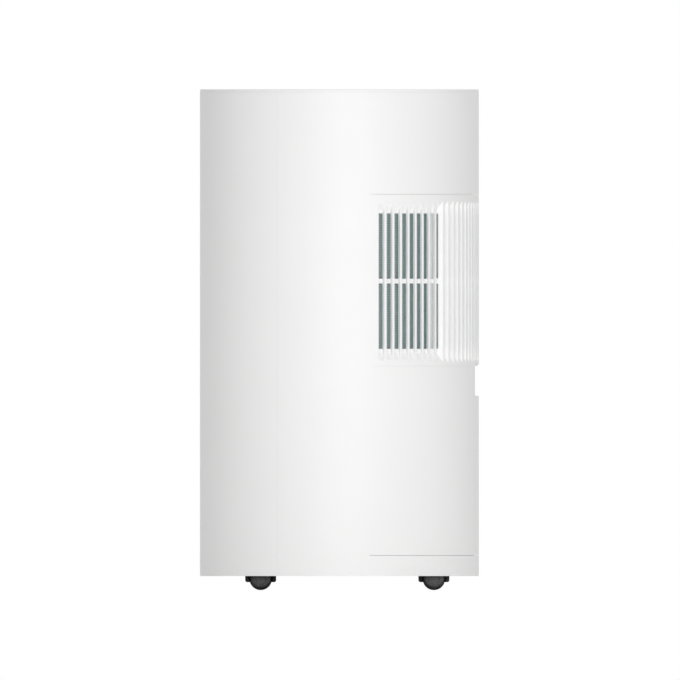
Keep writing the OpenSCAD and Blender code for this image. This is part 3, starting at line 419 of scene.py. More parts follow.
def round_edges(obj: Object, radius: float, edges: Edges) -> None:
    """Give an object's edges the small radius that a moulding has.

    Args:
        obj: The object.
        radius: Edge radius in millimetres.
        edges: Which of its edges.
    """
    bevel = obj.modifiers.new("edges", "BEVEL")
    bevel.width = radius * MM
    bevel.segments = 2
    bevel.limit_method = edges.value
    bevel.angle_limit = NODE_EDGE
    bevel.harden_normals = True


def dress(node: str, finish: Finishes, radius: float = 0.0) -> None:
    """Finish a node that keeps its own shape.

    Args:
        node: The node's name.
        finish: The finish it takes.
        radius: Edge radius in millimetres, or 0 to keep its edges.
    """
    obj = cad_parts[node]
    set_finish(obj, finish)
    if radius:
        weld = obj.modifiers.new("weld", "WELD")
        weld.merge_threshold = NODE_WELD * MM
        planes = obj.modifiers.new("planes", "DECIMATE")
        planes.decimate_type = "DISSOLVE"
        planes.angle_limit = NODE_FLAT
        round_edges(obj, radius, Edges.HARD)
    log.info("%s in %s", node, finish.value.name)


def new_object(name: str, data: ID) -> Object:
    """Make an object and put it in the scene.

    Args:
        name: The object's name.
        data: Its mesh, lamp or camera.

    Returns:
        The object.
    """
    obj = bpy.data.objects.new(name, data)
    bpy.context.scene.collection.objects.link(obj)
    return obj


class Axis(Enum):
    """The frame's axes: X to the right, Y to the rear, Z up."""

    X = "X"
    Y = "Y"
    Z = "Z"


def turn(axis: Axis, degrees: float) -> Matrix:
    """Turn about one axis."""
    return Matrix.Rotation(math.radians(degrees), 4, axis.value)


def shift(x: float, y: float, z: float) -> Matrix:
    """Move along the three axes, in millimetres."""
    return Matrix.Translation((x, y, z))


def along_x(start: float) -> Matrix:
    """Lay an outline on YZ so that it is raised along X from a start."""
    return Matrix(((0, 0, 1, start), (1, 0, 0, 0), (0, 1, 0, 0), (0, 0, 0, 1)))


def rectangle(low: Pair, high: Pair) -> list[Pair]:
    """Corners of a rectangle between two opposite ones."""
    return [low, (high[0], low[1]), high, (low[0], high[1])]


def arc(centre: Pair, radii: Pair, first: float, last: float, steps: int) -> list[Pair]:
    """Lay points along part of a circle or an ellipse.

    Args:
        centre: Its centre.
        radii: Its radius along each axis.
        first: Angle of the first point in degrees.
        last: Angle of the last point in degrees.
        steps: Number of equal steps.

    Returns:
        The points, both ends among them.
    """
    ways = (math.radians(first + (last - first) * i / steps) for i in range(steps + 1))
    return [(centre[0] + radii[0] * math.cos(a), centre[1] + radii[1] * math.sin(a)) for a in ways]


def round_rect(width: float, depth: float, corner: float, steps: int = 8) -> list[Pair]:
    """Outline of a centred rectangle with rounded corners.

    Args:
        width: Size along X.
        depth: Size along Y.
        corner: Corner radius.
        steps: Steps round each corner.

    Returns:
        The outline's corners.
    """
    points = []
    for quarter, (sx, sy) in enumerate(((1, 1), (-1, 1), (-1, -1), (1, -1))):
        centre = (sx * (width / 2 - corner), sy * (depth / 2 - corner))
        points += arc(centre, (corner, corner), 90 * quarter, 90 * quarter + 90, steps)
    return points


class Cut(Enum):
    """How one shape acts on another."""

    AWAY = "DIFFERENCE"
    ADD = "UNION"
    SHARED = "INTERSECT"


class Shape:
    """Closed mesh in millimetres that other shapes are cut from or joined to."""

    def __init__(self, mesh: Mesh) -> None:
        """Wrap a mesh."""
        self.mesh = mesh

    @classmethod
    def from_points(cls, points: Sequence[Sequence[float]], faces: Sequence[Sequence[int]]) -> Shape:
        """Make a shape from points and faces, with its faces turned outwards.

        Args:
            points: Corners in millimetres.
            faces: Corner numbers of each face.

        Returns:
            The shape.
        """
        mesh = bpy.data.meshes.new("shape")
        mesh.from_pydata([tuple(p) for p in points], [], [tuple(f) for f in faces])
        bm = bmesh.new()
        bm.from_mesh(mesh)
        bmesh.ops.remove_doubles(bm, verts=bm.verts, dist=SAME_POINT)
        bmesh.ops.recalc_face_normals(bm, faces=bm.faces)
        bm.to_mesh(mesh)
        bm.free()
        return cls(mesh)

    @classmethod
    def revolved(
        cls, profile: Sequence[Pair], start: float = 0.0, end: float = 360.0, step: float = 1.0
    ) -> Shape:
        """Turn a closed profile round the upright axis.

        Args:
            profile: Corners as radius and height.
            start: First angle in degrees.
            end: Last angle in degrees.
            step: Widest step in degrees.

        Returns:
            The shape, capped at both ends unless it closes on itself.
        """
        whole = end - start >= 360
        count = max(3, math.ceil((end - start) / step))
        rings = count if whole else count + 1
        points = []
        for i in range(rings):
            a = math.radians(start + (end - start) * i / count)
            points += [(r * math.cos(a), r * math.sin(a), z) for r, z in profile]
        n = len(profile)
        faces: list[list[int]] = []
        for i in range(count):
            here, there = i * n, (i + 1) % rings * n
            for j in range(n):
                k = (j + 1) % n
                if max(profile[j][0], profile[k][0]) < SAME_POINT:
                    continue
                faces.append([here + j, here + k, there + k, there + j])
        if not whole:
            faces += [list(range(n)), [count * n + j for j in range(n)]]
        return cls.from_points(points, faces)

    @classmethod
    def extruded(cls, outline: Sequence[Pair], height: float, place: Matrix | None = None) -> Shape:
        """Raise a flat outline along its own Z.

        Args:
            outline: Corners in the outline's plane.
            height: Height above that plane.
            place: Where the outline's plane lies.

        Returns:
            The shape.
        """
        place = place or Matrix()
        n = len(outline)
        points = [place @ Vector((x, y, z)) for z in (0.0, height) for x, y in outline]
        faces = [list(range(n)), list(range(n, 2 * n))]
        faces += [[i, (i + 1) % n, n + (i + 1) % n, n + i] for i in range(n)]
        return cls.from_points(points, faces)

    @classmethod
    def block(cls, low: Point, high: Point) -> Shape:
        """Make a block between two corners."""
        x, y, z = Vector(high) - Vector(low)
        return cls.extruded(rectangle((0, 0), (x, y)), z, shift(*low))

    @classmethod
    def rod(cls, radius: float, length: float, place: Matrix, sides: int = 48) -> Shape:
        """Make a round bar that stands on its place's XY plane."""
        return cls.extruded(arc((0, 0), (radius, radius), 0, 360, sides)[:-1], length, place)

    def turned(self, place: Matrix) -> Shape:
        """Return a moved copy of this shape.

        Args:
            place: Where it moves to.

        Returns:
            The copy.
        """
        mesh = self.mesh.copy()
        mesh.transform(place)
        if place.determinant() < 0:
            mesh.flip_normals()
        return Shape(mesh)

    @classmethod
    def joined(cls, shapes: Sequence[Shape]) -> Shape:
        """Put several shapes in one mesh as they are.

        Args:
            shapes: The shapes.

        Returns:
            The one shape.
        """
        bm = bmesh.new()
        for shape in shapes:
            bm.from_mesh(shape.mesh)
        mesh = bpy.data.meshes.new("shape")
        bm.to_mesh(mesh)
        bm.free()
        return cls(mesh)

    def with_tools(self, how: Cut, *tools: Shape) -> Shape:
        """Combine this shape with others.

        Args:
            how: What the others do to this shape.
            tools: The other shapes, which may overlap.

        Returns:
            The combined shape.
        """
        target = new_object("target", self.mesh)
        cutter = new_object("cutter", Shape.joined(tools).mesh)
        boolean = target.modifiers.new("cut", "BOOLEAN")
        boolean.operation = how.value
        boolean.solver = "EXACT"
        boolean.use_self = len(tools) > 1
        boolean.object = cutter
        graph = bpy.context.evaluated_depsgraph_get()
        result = bpy.data.meshes.new_from_object(target.evaluated_get(graph))
        for obj in (target, cutter):
            bpy.data.objects.remove(obj)
        return Shape(result)

    def weigh_edges(self, plain: Sequence[float]) -> None:
        """Mark the hard edges that get rounded.

        Args:
            plain: Directions from the upright axis, in degrees, whose edges stay sharp.
        """
        bm = bmesh.new()
        bm.from_mesh(self.mesh)
        layer = bm.edges.layers.float.new("bevel_weight_edge")
        for edge in bm.edges:
            ways = [math.degrees(math.atan2(v.co.y, v.co.x)) % 360 for v in edge.verts]
            joint = any(max(abs(way - angle) for way in ways) < ON_JOINT for angle in plain)
            edge[layer] = float(not joint and edge.calc_face_angle(0.0) > HARD_EDGE)
        bm.to_mesh(self.mesh)
        bm.free()

    def piece(
        self,
        name: str,
        body: str,
        slot: str,
        finish: Finishes,
        radius: float = 0.4,
        stands_for: Sequence[str] = (),
        plain: Sequence[float] = (),
    ) -> Object:
        """Turn the shape into a finished piece of the appliance.

        Args:
            name: The piece's name.
            body: The body it moves with.
            slot: The record's material slot; not used.
            finish: The finish it takes.
            radius: Edge radius in millimetres, or 0 for none.
            stands_for: Nodes that the piece replaces.
            plain: Directions in degrees whose edges stay sharp.

        Returns:
            The piece.
        """
        self.weigh_edges(plain)
        self.mesh.transform(Matrix.Scale(MM, 4))
        self.mesh.shade_smooth()
        self.mesh.set_sharp_from_angle(angle=HARD_EDGE)
        self.mesh.materials.clear()
        obj = new_object(name, self.mesh)
        set_finish(obj, finish)
        if radius:
            round_edges(obj, radius, Edges.MARKED)
        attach(obj, body)
        if stands_for:
            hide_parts(*stands_for)
        log.info("%s on %s in %s", name, body, finish.value.name)
        return obj


def radial(angle: float, height: float, distance: float) -> Matrix:
    """Place a plane so that its Z points away from the upright axis.

    Args:
        angle: Direction in degrees from the right-hand side.
        height: Height above the floor.
        distance: Distance from the axis.

    Returns:
        The plane's place.
    """
    return turn(Axis.Z, angle) @ shift(distance, 0, height) @ turn(Axis.Y, 90)


@dataclass
class Shell:
    """White cabinet: front, side and rear panels round one axis."""

    radius: float = 198.0
    wall: float = 2.6
    ledge: float = 186.0
    ledge_t: float = 3.0
    bottom: float = 20.0
    top: float = 707.5
    front_joint: float = 0.03
    rear_joint: float = 0.004
    rear: Pair = (12.5, 167.5)
    front: Pair = (206.4, 333.6)
    base_seam: float = 49.5
    mid_seam: float = 318.0
    upper_seam: float = 562.15
    ring_ledge: float = 60.0
    deck_ledge: float = 311.0
    lid_ledge: float = 690.0
    grille_ledge: float = 565.0
    # Hand grip
    grip_width: float = 92.0
    grip_low: float = 276.0
    grip_depth: float = 24.0
    grip_corner: float = 4.0
    grip_mouth: float = 15.6
    # Linings of the grip and of the well behind the port
    lining_low: float = 52.0
    lining_high: float = 317.0
    # Exhaust port
    port_angle: float = 112.0
    port_height: float = 190.0
    port_radius: float = 67.0
    port_back: float = 174.0
    # Air slots, with the cord gland below them
    service_angle: float = 151.0
    slots: int = 9
    slot_pitch: float = 2.6
    slot_width: float = 4.4
    slot_low: float = 96.0
    slot_high: float = 250.0
    gland_height: float = 80.0
    gland_radius: float = 9.0
    cut_reach: float = 20.0
    round_sides: int = 96
    edge: float = 0.15

    @property
    def inner(self) -> float:
        """Inside radius of the panels."""
        return self.radius - self.wall

    def panel(self, low: float, high: float, start: float, end: float, ledges: Sequence[float]) -> Shape:
        """Make one curved panel with inner ledges.

        Args:
            low: Height of the lower edge.
            high: Height of the upper edge.
            start: First angle in degrees.
            end: Last angle in degrees.
            ledges: Heights of the undersides of its ledges.

        Returns:
            The panel.
        """
        profile = rectangle((self.inner, low), (self.radius, high))
        for z in sorted(ledges, reverse=True):
            top = z + self.ledge_t
            profile += [(self.inner, top), (self.ledge, top), (self.ledge, z), (self.inner, z)]
        return Shape.revolved(profile, start, end)

    def grip_outline(self, high: float) -> list[Pair]:
        """Outline of the hand grip as width and height, with its lower corners rounded.

        Args:
            high: Height of its upper edge.

        Returns:
            The outline.
        """
        half, c = self.grip_width / 2, self.grip_corner
        points = [(half, high), (-half, high)]
        for side, first in ((-1, 180), (1, 270)):
            points += arc((side * (half - c), self.grip_low + c), (c, c), first, first + 90, 8)
        return points

    def lower_rear(self, start: float, end: float) -> Shape:
        """Make the lower rear shell with its hand grip, exhaust well, air slots and gland hole.

        Args:
            start: First angle in degrees.
            end: Last angle in degrees.

        Returns:
            The shell.
        """
        shell = self.panel(self.base_seam, self.mid_seam, start, end, [self.ring_ledge, self.deck_ledge])
        back = self.radius - self.grip_depth - self.wall
        half = self.grip_width / 2 + self.wall
        middle = self.radius - self.wall / 2
        drum = Shape.revolved(rectangle((0, self.lining_low), (middle, self.lining_high)), step=2)
        pocket = Shape.block(
            (-half, back, self.grip_low - self.wall),
            (half, self.radius + 2 * CUT_CLEAR, self.deck_ledge + self.ledge_t),
        )
        port = (self.port_angle, self.port_height)
        behind = radial(*port, self.port_back)
        well = Shape.rod(self.port_radius + self.wall, 2 * self.cut_reach, behind, self.round_sides)
        linings = [pocket.with_tools(Cut.SHARED, drum), well.with_tools(Cut.SHARED, drum)]
        shell = shell.with_tools(Cut.ADD, *linings)
        face = shift(0, self.radius + CUT_PROUD, 0) @ turn(Axis.X, 90)
        gland = radial(self.service_angle, self.gland_height, self.radius - self.cut_reach)
        mouth = self.grip_outline(self.mid_seam + CUT_PROUD)
        hole = radial(*port, self.radius - 2 * self.cut_reach)
        cuts = [
            Shape.extruded(self.grip_outline(self.deck_ledge), self.grip_depth + CUT_PROUD, face),
            Shape.extruded(mouth, self.grip_mouth, face),
            Shape.rod(self.port_radius, 3 * self.cut_reach, hole, self.round_sides),
            Shape.rod(self.gland_radius, 2 * self.cut_reach, gland),
        ]
        half = self.slot_width / 2
        slot = Shape.block(
            (self.radius - self.cut_reach, -half, self.slot_low),
            (self.radius + CUT_PROUD, half, self.slot_high),
        )
        for i in range(self.slots):
            angle = self.service_angle + (i - (self.slots - 1) / 2) * self.slot_pitch
            cuts.append(slot.turned(turn(Axis.Z, angle)))
        return shell.with_tools(Cut.AWAY, *cuts)

    def build(self) -> None:
        """Build and finish the panels."""
        ledges = [self.ring_ledge, self.deck_ledge, self.lid_ledge]
        front, rear = self.front_joint / 2, self.rear_joint / 2
        first, last = self.rear[0] + rear, self.rear[1] - rear
        spans = {
            "front_panel": (self.front[0] + front, self.front[1] - front),
            "side_panel_right": (self.front[1] - 360 + front, self.rear[0] - rear),
            "side_panel_left": (self.rear[1] + rear, self.front[0] - front),
        }
        shapes = {node: self.panel(self.bottom, self.top, *span, ledges) for node, span in spans.items()}
        upper = [self.grille_ledge, self.lid_ledge]
        shapes["rear_upper_panel"] = self.panel(self.upper_seam, self.top, first, last, upper)
        shapes["rear_lower_panel"] = self.lower_rear(first, last)
        joints = (first, last, spans["side_panel_right"][1], spans["side_panel_left"][0])
        for node, shape in shapes.items():
            shape.piece(
                f"{node}_skin", "cabinet", "cabinet_plastic", Finishes.CABINET, self.edge, [node], joints
            )


@dataclass
class Grille:
    """Intake grille: upright ribs cut along a side pull and a rear pull of its mould."""

    radius: float = 198.0
    depth: float = 5.4
    inner_wall: float = 3.5
    low: float = 318.1
    high: float = 561.85
    start: float = 12.504
    # Ribs: width in millimetres, pitch and first groove in degrees
    rib: float = 3.4
    pitch: float = 3.47
    first: float = 17.6
    side_grooves: int = 8
    fins: int = 12
    side_pull: float = 28.0
    # Plain bands, sloped run-outs of the grooves, margins of the slots and bar between them
    lower_band: float = 8.5
    upper_band: float = 12.8
    runout: float = 10.0
    lower_margin: float = 6.0
    upper_margin: float = 4.25
    bar: float = 6.7
    relief: float = 1.6
    inset: float = 0.5
    # Shares of the step between the two pulls at which their grooves end
    turn_side: float = 0.55
    turn_rear: float = 0.5
    # Rounded grip lip
    lip: float = 5.0
    lip_half: float = 46.0
    lip_cut: Pair = (2.0, 1.0)
    # Faces that are steeper and more sideways than this are walls of the ribs, which take the painted light
    wall_slope: float = 0.2
    wall_turn: float = 0.9
    cut_out: float = 12.0
    cut_through: float = 6.0
    overlap: float = 0.01
    arc_step: float = 0.5
    edge: float = 0.25

    def groove(
        self,
        first: float,
        last: float,
        pull: float,
        relief: float = 0.0,
        inset: float = 0.0,
        blind: bool = False,
    ) -> list[Shape]:
        """Make the cutters of one groove.

        Args:
            first: Angle of its first edge in the skin.
            last: Angle of its second edge in the skin.
            pull: Direction of its walls.
            relief: How far its slots widen behind the next rib.
            inset: How much shorter its slots are at each end.
            blind: Whether it has no slots.

        Returns:
            The groove and the reliefs of its slots.
        """
        t0, t1 = (self.radius * math.sin(math.radians(angle - pull)) for angle in (first, last))
        radii = (self.radius, self.radius - self.depth, self.radius - self.depth - self.inner_wall)
        skin, bed, wall = (math.sqrt(r**2 - (t0 + t1) ** 2 / 4) for r in radii)
        back, out = wall - self.cut_through, skin + self.cut_out
        rise = self.cut_out * self.runout / (skin - bed)
        low, high = self.low + self.lower_band, self.high - self.upper_band
        z0, z3 = low + self.runout + self.lower_margin, high - self.runout - self.upper_margin
        z1 = (z0 + z3 - self.bar) / 2
        z2 = z1 + self.bar
        spans = [] if blind else [(z0 + inset, z1 - inset), (z2 + inset, z3 - inset)]
        outline = [(out, low - rise), (skin, low), (bed, low + self.runout)]
        for a, b in spans:
            outline += [(bed, a), (back, a), (back, b), (bed, b)]
        outline += [(bed, high - self.runout), (skin, high), (out, high + rise)]
        place = turn(Axis.Z, pull) @ shift(0, t1, 0) @ turn(Axis.X, 90)
        cuts = [Shape.extruded(outline, t1 - t0, place)]
        if relief:
            behind = place @ shift(0, 0, -relief)
            for a, b in spans:
                cuts.append(Shape.extruded(rectangle((back, a), (bed, b)), relief + self.overlap, behind))
        return cuts

    def half(self) -> list[Shape]:
        """Make all cutters from the right-hand edge to the rear centre line.

        Returns:
            The cutters.
        """
        rib = math.degrees(self.rib / self.radius)
        gap = self.pitch - rib
        cuts = []
        for i in range(self.side_grooves):
            middle = self.first + i * self.pitch
            cuts += self.groove(middle - gap / 2, middle + gap / 2, self.side_pull, self.relief)
        first_fin = 90 - self.fins * self.pitch
        a = self.first + (self.side_grooves - 1) * self.pitch + gap / 2 + rib
        b = first_fin - rib / 2
        cuts += self.groove(a, a + (b - a) * self.turn_side, self.side_pull, inset=self.inset)
        cuts += self.groove(a + (b - a) * self.turn_rear, b, 90, blind=True)
        for i in range(self.fins):
            middle = first_fin + (i + 0.5) * self.pitch
            cuts += self.groove(middle - gap / 2, middle + gap / 2, 90)
        return cuts

    def build(self) -> None:
        """Build and finish the grille."""
        span = (self.start, 180 - self.start)
        inner = self.radius - self.depth - self.inner_wall
        wall = Shape.revolved(rectangle((inner, self.low), (self.radius, self.high)), *span, self.arc_step)
        cuts = self.half()
        cuts += [cut.turned(MIRROR) for cut in cuts]
        grille = wall.with_tools(Cut.AWAY, *cuts)
        reach = math.degrees(math.asin(self.lip_half / self.radius))
        centre = (self.radius - self.lip, self.low + self.lip)
        out, below = self.radius + self.lip_cut[0], self.low - self.lip_cut[1]
        rounding = arc(centre, (self.lip, self.lip), -90, 0, 8)
        rounding += [(out, centre[1]), (out, below), (centre[0], below)]
        edge = Shape.revolved(rounding, 90 - reach, 90 + reach, self.arc_step)
        ribs = grille.with_tools(Cut.AWAY, edge).piece(
            "intake_grille_ribs", "grille", "cabinet_plastic", Finishes.GRILLE, self.edge,
            ["intake_grille"], span,
        )
        self.paint_light_on_rib_walls(ribs)

    def paint_light_on_rib_walls(self, ribs: Object) -> None:
        """Give all but the walls of the ribs the cabinet's own finish; the walls keep the brighter one,
        painted light.

        Args:
            ribs: The finished grille.
        """
        ribs.data.materials.append(material_of(Finishes.CABINET.value))
        for face in ribs.data.polygons:
            outward = Vector((face.center.x, face.center.y, 0)).normalized()
            wall = abs(face.normal.z) < self.wall_slope and abs(face.normal.dot(outward)) < self.wall_turn
            face.material_index = int(not wall)


@dataclass
class Filter:
    """Dust filter: framed woven screen that slides into its curved housing."""

    frame_edge: float = 0.3

    def build(self) -> None:
        """Finish the filter's three nodes."""
        dress("filter_frame", Finishes.FINE, self.frame_edge)
        dress("filter_mesh", Finishes.SCREEN)
        dress("filter_housing", Finishes.INNER)


@dataclass
class Base:
    """Base pan with its screws, the deck above it, the cord gland and the drain plug."""

    post_at: float = 174.0
    post_angles: tuple[float, ...] = (15.0, 200.0, 258.0, 282.0)
    head_radius: float = 3.8
    head_low: float = 20.2
    head_high: float = 21.8
    head_crown: float = 0.6
    shank: float = 1.9
    tip: float = 43.0
    point: float = 4.0
    thread_pitch: float = 1.4
    thread_depth: float = 0.35
    recess: float = 1.1
    recess_arm: Pair = (2.1, 0.35)
    skirt_low: float = 20.0
    skirt_high: float = 49.1
    skirt_inner: float = 195.4
    skirt_outer: float = 198.0
    skirt_joint: Pair = (12.504, 12.557)
    plug_edge: float = 0.3

    def skirt_ends(self) -> Shape:
        """Make the two slivers that close the skirt's upright joints with the side panels.

        Returns:
            The two slivers.
        """
        profile = rectangle((self.skirt_inner, self.skirt_low), (self.skirt_outer, self.skirt_high))
        first, last = self.skirt_joint
        spans = ((first, last), (180 - last, 180 - first))
        return Shape.joined([Shape.revolved(profile, *span, last - first) for span in spans])

    def screw(self) -> Shape:
        """Make one pan-head screw, head down, with rolled threads and a cross recess.

        Returns:
            The screw.
        """
        centre = (0.0, self.head_low + self.head_crown)
        crown = arc(centre, (self.head_radius, self.head_crown), -90, 0, 6)
        profile = [(0.0, self.head_low)] + crown[1:] + [(self.head_radius, self.head_high)]
        z = self.head_high
        root = self.shank - self.thread_depth
        while z < self.tip - self.point - self.thread_pitch:
            profile += [(root, z), (self.shank, z + self.thread_pitch / 2)]
            z += self.thread_pitch
        profile += [(root, z), (0.0, self.tip)]
        reach, half = self.recess_arm
        low = self.head_low
        arm = Shape.block((-reach, -half, low - CUT_CLEAR), (reach, half, low + self.recess))
        return Shape.revolved(profile, step=15).with_tools(Cut.AWAY, arm, arm.turned(turn(Axis.Z, 90)))

    def build(self) -> None:
        """Build the screws and finish the rest of the base."""
        dress("base_pan", Finishes.CABINET)
        self.skirt_ends().piece("base_skirt_ends", "cabinet", "cabinet_plastic", Finishes.CABINET, 0.0)
        dress("mid_deck", Finishes.INNER)
        dress("cord_gland", Finishes.RUBBER, self.plug_edge)
        dress("drain_plug", Finishes.RUBBER, self.plug_edge)
        screw = self.screw().turned(shift(self.post_at, 0, 0))
        first, *others = [screw.turned(turn(Axis.Z, angle)) for angle in self.post_angles]
        first.with_tools(Cut.ADD, *others).piece(
            "housing_screws_threaded", "cabinet", "zinc_steel", Finishes.ZINC, 0.0, ["housing_screws"]
        )


@dataclass
class Top:
    """Lid with its control panel: smoked display window, five keys and their pilot lights."""

    keys: tuple[str, ...] = ("power", "mode", "down", "up", "fan")
    key_pitch: float = 36.0
    key_y: float = -110.0
    key_radius: float = 7.5
    cap_low: float = 706.6
    cap_high: float = 709.2
    dish: float = 0.5
    rim: float = 0.7
    stem: float = 3.0
    stem_low: float = 698.9
    light_y: float = -98.6
    light_radius: float = 1.1
    light_depth: float = 1.0
    light_rise: float = 0.25
    face: float = 708.0
    window_corner: float = 2.9
    edge: float = 0.3

    def key(self, x: float) -> Shape:
        """Make one round key with a dished cap.

        Args:
            x: Its place along the panel.

        Returns:
            The key.
        """
        reach = self.key_radius - self.rim
        shoulder = arc((reach, self.cap_high - self.rim), (self.rim, self.rim), 0, 90, 5)
        reach -= self.rim
        dish = [
            (reach * (1 - i / 8), self.cap_high - self.dish * math.sin(math.pi / 2 * i / 8)) for i in range(9)
        ]
        foot = [(0.0, self.stem_low), (self.stem, self.stem_low), (self.stem, self.cap_low)]
        profile = foot + [(self.key_radius, self.cap_low)] + shoulder + dish
        return Shape.revolved(profile, step=5).turned(shift(x, self.key_y, 0))

    def window(self) -> Shape:
        """Make the display's flush window in the room that the frame gives it.

        Returns:
            The window.
        """
        low, high = (Vector(corner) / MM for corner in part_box("display_lens"))
        size, middle = high - low, (low + high) / 2
        outline = round_rect(size.x, size.y, self.window_corner)
        return Shape.extruded(outline, size.z, shift(middle.x, middle.y, low.z))

    def build(self) -> None:
        """Build the window, keys and pilot lights and finish the lid."""
        dress("top_cover", Finishes.CABINET)
        dress("control_panel", Finishes.PANEL, self.edge)
        dress("key_board", Finishes.BOARD)
        self.window().piece("display_window", "cabinet", "lens", Finishes.LENS, self.edge, ["display_lens"])
        radius, foot = self.light_radius, self.face - self.light_depth
        light = [(0.0, foot), (radius, foot), (radius, self.face), (0.0, self.face + self.light_rise)]
        for i, key in enumerate(self.keys):
            x = (i - (len(self.keys) - 1) / 2) * self.key_pitch
            body = f"button_{key}"
            self.key(x).piece(f"{body}_cap", body, "button_plastic", Finishes.KEY, 0.0, [body])
            Shape.revolved(light, step=15).turned(shift(x, self.light_y, 0)).piece(
                f"pilot_light_{key}", "cabinet", "lens", Finishes.PILOT, 0.0
            )


@dataclass
class Outlet:
    """Air outlet: ribbed flap with its motor, and vanes tied by a link."""

    vanes: int = 5
    vane_edge: float = 0.3
    half_width: float = 115.2
    front: float = -13.2
    hinge_y: float = 74.2
    hinge_z: float = 705.0
    thickness: float = 6.0
    skin: float = 2.4
    rim: float = 3.0
    rib: float = 3.0
    pockets: int = 6
    pin_radius: float = 1.8
    pin_end: float = 120.0
    flap_edge: float = 0.6

    def flap(self) -> Shape:
        """Make the flap: skin over ribs, with a round back edge on two hinge pins.

        Returns:
            The flap.
        """
        half = self.thickness / 2
        low, high = self.hinge_z - half, self.hinge_z + half
        outline = [(self.front, high), (self.front, low), (self.hinge_y, low)]
        outline += arc((self.hinge_y, self.hinge_z), (half, half), -75, 75, 10)
        outline.append((self.hinge_y, high))
        flap = Shape.extruded(outline, 2 * self.half_width, along_x(-self.half_width))
        pitch = 2 * self.half_width / self.pockets
        wall = self.rib / 2
        y0, y1, z1 = self.front + self.rim, self.hinge_y - half - self.rim, high - self.skin
        pockets = []
        for i in range(self.pockets):
            x = -self.half_width + i * pitch
            pockets.append(Shape.block((x + wall, y0, low - CUT_CLEAR), (x + pitch - wall, y1, z1)))
        axis = shift(-self.pin_end, self.hinge_y, self.hinge_z) @ turn(Axis.Y, 90)
        pin = Shape.rod(self.pin_radius, 2 * self.pin_end, axis, 24)
        return flap.with_tools(Cut.AWAY, *pockets).with_tools(Cut.ADD, pin)

    def build(self) -> None:
        """Build the flap and finish the outlet's other nodes."""
        self.flap().piece(
            "outlet_flap_ribbed", "flap", "cabinet_plastic", Finishes.CABINET, self.flap_edge, ["outlet_flap"]
        )
        dress("flap_motor", Finishes.ZINC, self.vane_edge)
        for node in ("vane_frame", "vane_link", *(f"vane_{i + 1}" for i in range(self.vanes))):
            dress(node, Finishes.FINE, self.vane_edge)


class Side(Enum):
    """The two sides of the cooling circuit that air is blown through."""

    COLD = "evaporator"
    WARM = "condenser"


@dataclass
class Coil:
    """Finned coil: aluminium fins between steel end sheets, with copper return bends."""

    side: Side
    facing: float = 0.0
    bends: int = 9
    sheet: float = 1.6
    tube: float = 3.4
    collar: float = 4.4
    collar_length: float = 1.6
    first_bend: float = 0.75
    sides: int = 24
    sheet_edge: float = 0.3

    def build(self) -> None:
        """Build the end sheets and bends from the node's own box and finish the fins."""
        name = self.side.value
        node = f"{name}_tubes"
        low, high = (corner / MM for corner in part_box(node))
        middle = (low + high) / 2
        size = high - low
        width, depth = (size.y, size.x) if self.facing else (size.x, size.y)
        row = depth / 4
        reach = width / 2 - row - self.tube
        place = shift(middle.x, middle.y, 0) @ turn(Axis.Z, self.facing)
        bend = Shape.revolved(arc((row, 0), (self.tube, self.tube), 0, 360, self.sides)[:-1], -90, 90, 7.5)
        collar = Shape.rod(self.collar, self.collar_length, turn(Axis.Y, 90), self.sides)
        step = size.z / (self.bends - 1 + 2 * self.first_bend)
        sheets, copper = [], []
        for side in (place, place @ turn(Axis.Z, 180)):
            plate = Shape.block((reach - self.sheet, -depth / 2, low.z), (reach, depth / 2, high.z))
            sheets.append(plate.turned(side))
            for i in range(self.bends):
                at = side @ shift(reach, 0, low.z + (i + self.first_bend) * step)
                copper.append(bend.turned(at))
                copper += [collar.turned(at @ shift(0, y, 0)) for y in (-row, row)]
        Shape.joined(sheets).piece(
            f"{name}_end_sheets", "cabinet", "zinc_steel", Finishes.ZINC, self.sheet_edge
        )
        Shape.joined(copper).piece(
            f"{name}_return_bends", "cabinet", "copper", Finishes.COPPER, 0.0, [node]
        )
        dress(f"{name}_fins", Finishes.FIN)


@dataclass
class AirUnit:
    """One air side: coil, scroll, blower wheel, shaft and motor."""

    coil: Coil
    shaft_edge: float = 0.2
    motor_edge: float = 0.6

    def build(self) -> None:
        """Build the coil and finish the other nodes of this side."""
        self.coil.build()
        name = self.coil.side.value
        dress(f"{name}_scroll", Finishes.INNER)
        dress(f"{name}_wheel", Finishes.INNER)
        dress(f"{name}_shaft", Finishes.ZINC, self.shaft_edge)
        dress(f"{name}_motor", Finishes.CAN, self.motor_edge)


@dataclass
class Sealed:
    """Sealed refrigerant side: compressor on its grommets, accumulator and pipes."""

    grommet_edge: float = 0.4

    def build(self) -> None:
        """Finish the nodes of the sealed side."""
        dress("compressor", Finishes.ENAMEL)
        dress("compressor_mounts", Finishes.RUBBER, self.grommet_edge)
        dress("accumulator", Finishes.ENAMEL)
        dress("refrigerant_lines", Finishes.COPPER)


@dataclass
class Exhaust:
    """Warm air outlet: duct from the condenser scroll to the collar in its well."""

    collar_edge: float = 0.5

    def build(self) -> None:
        """Finish the duct and the collar."""
        dress("exhaust_duct", Finishes.INNER)
        dress("exhaust_collar", Finishes.FINE, self.collar_edge)


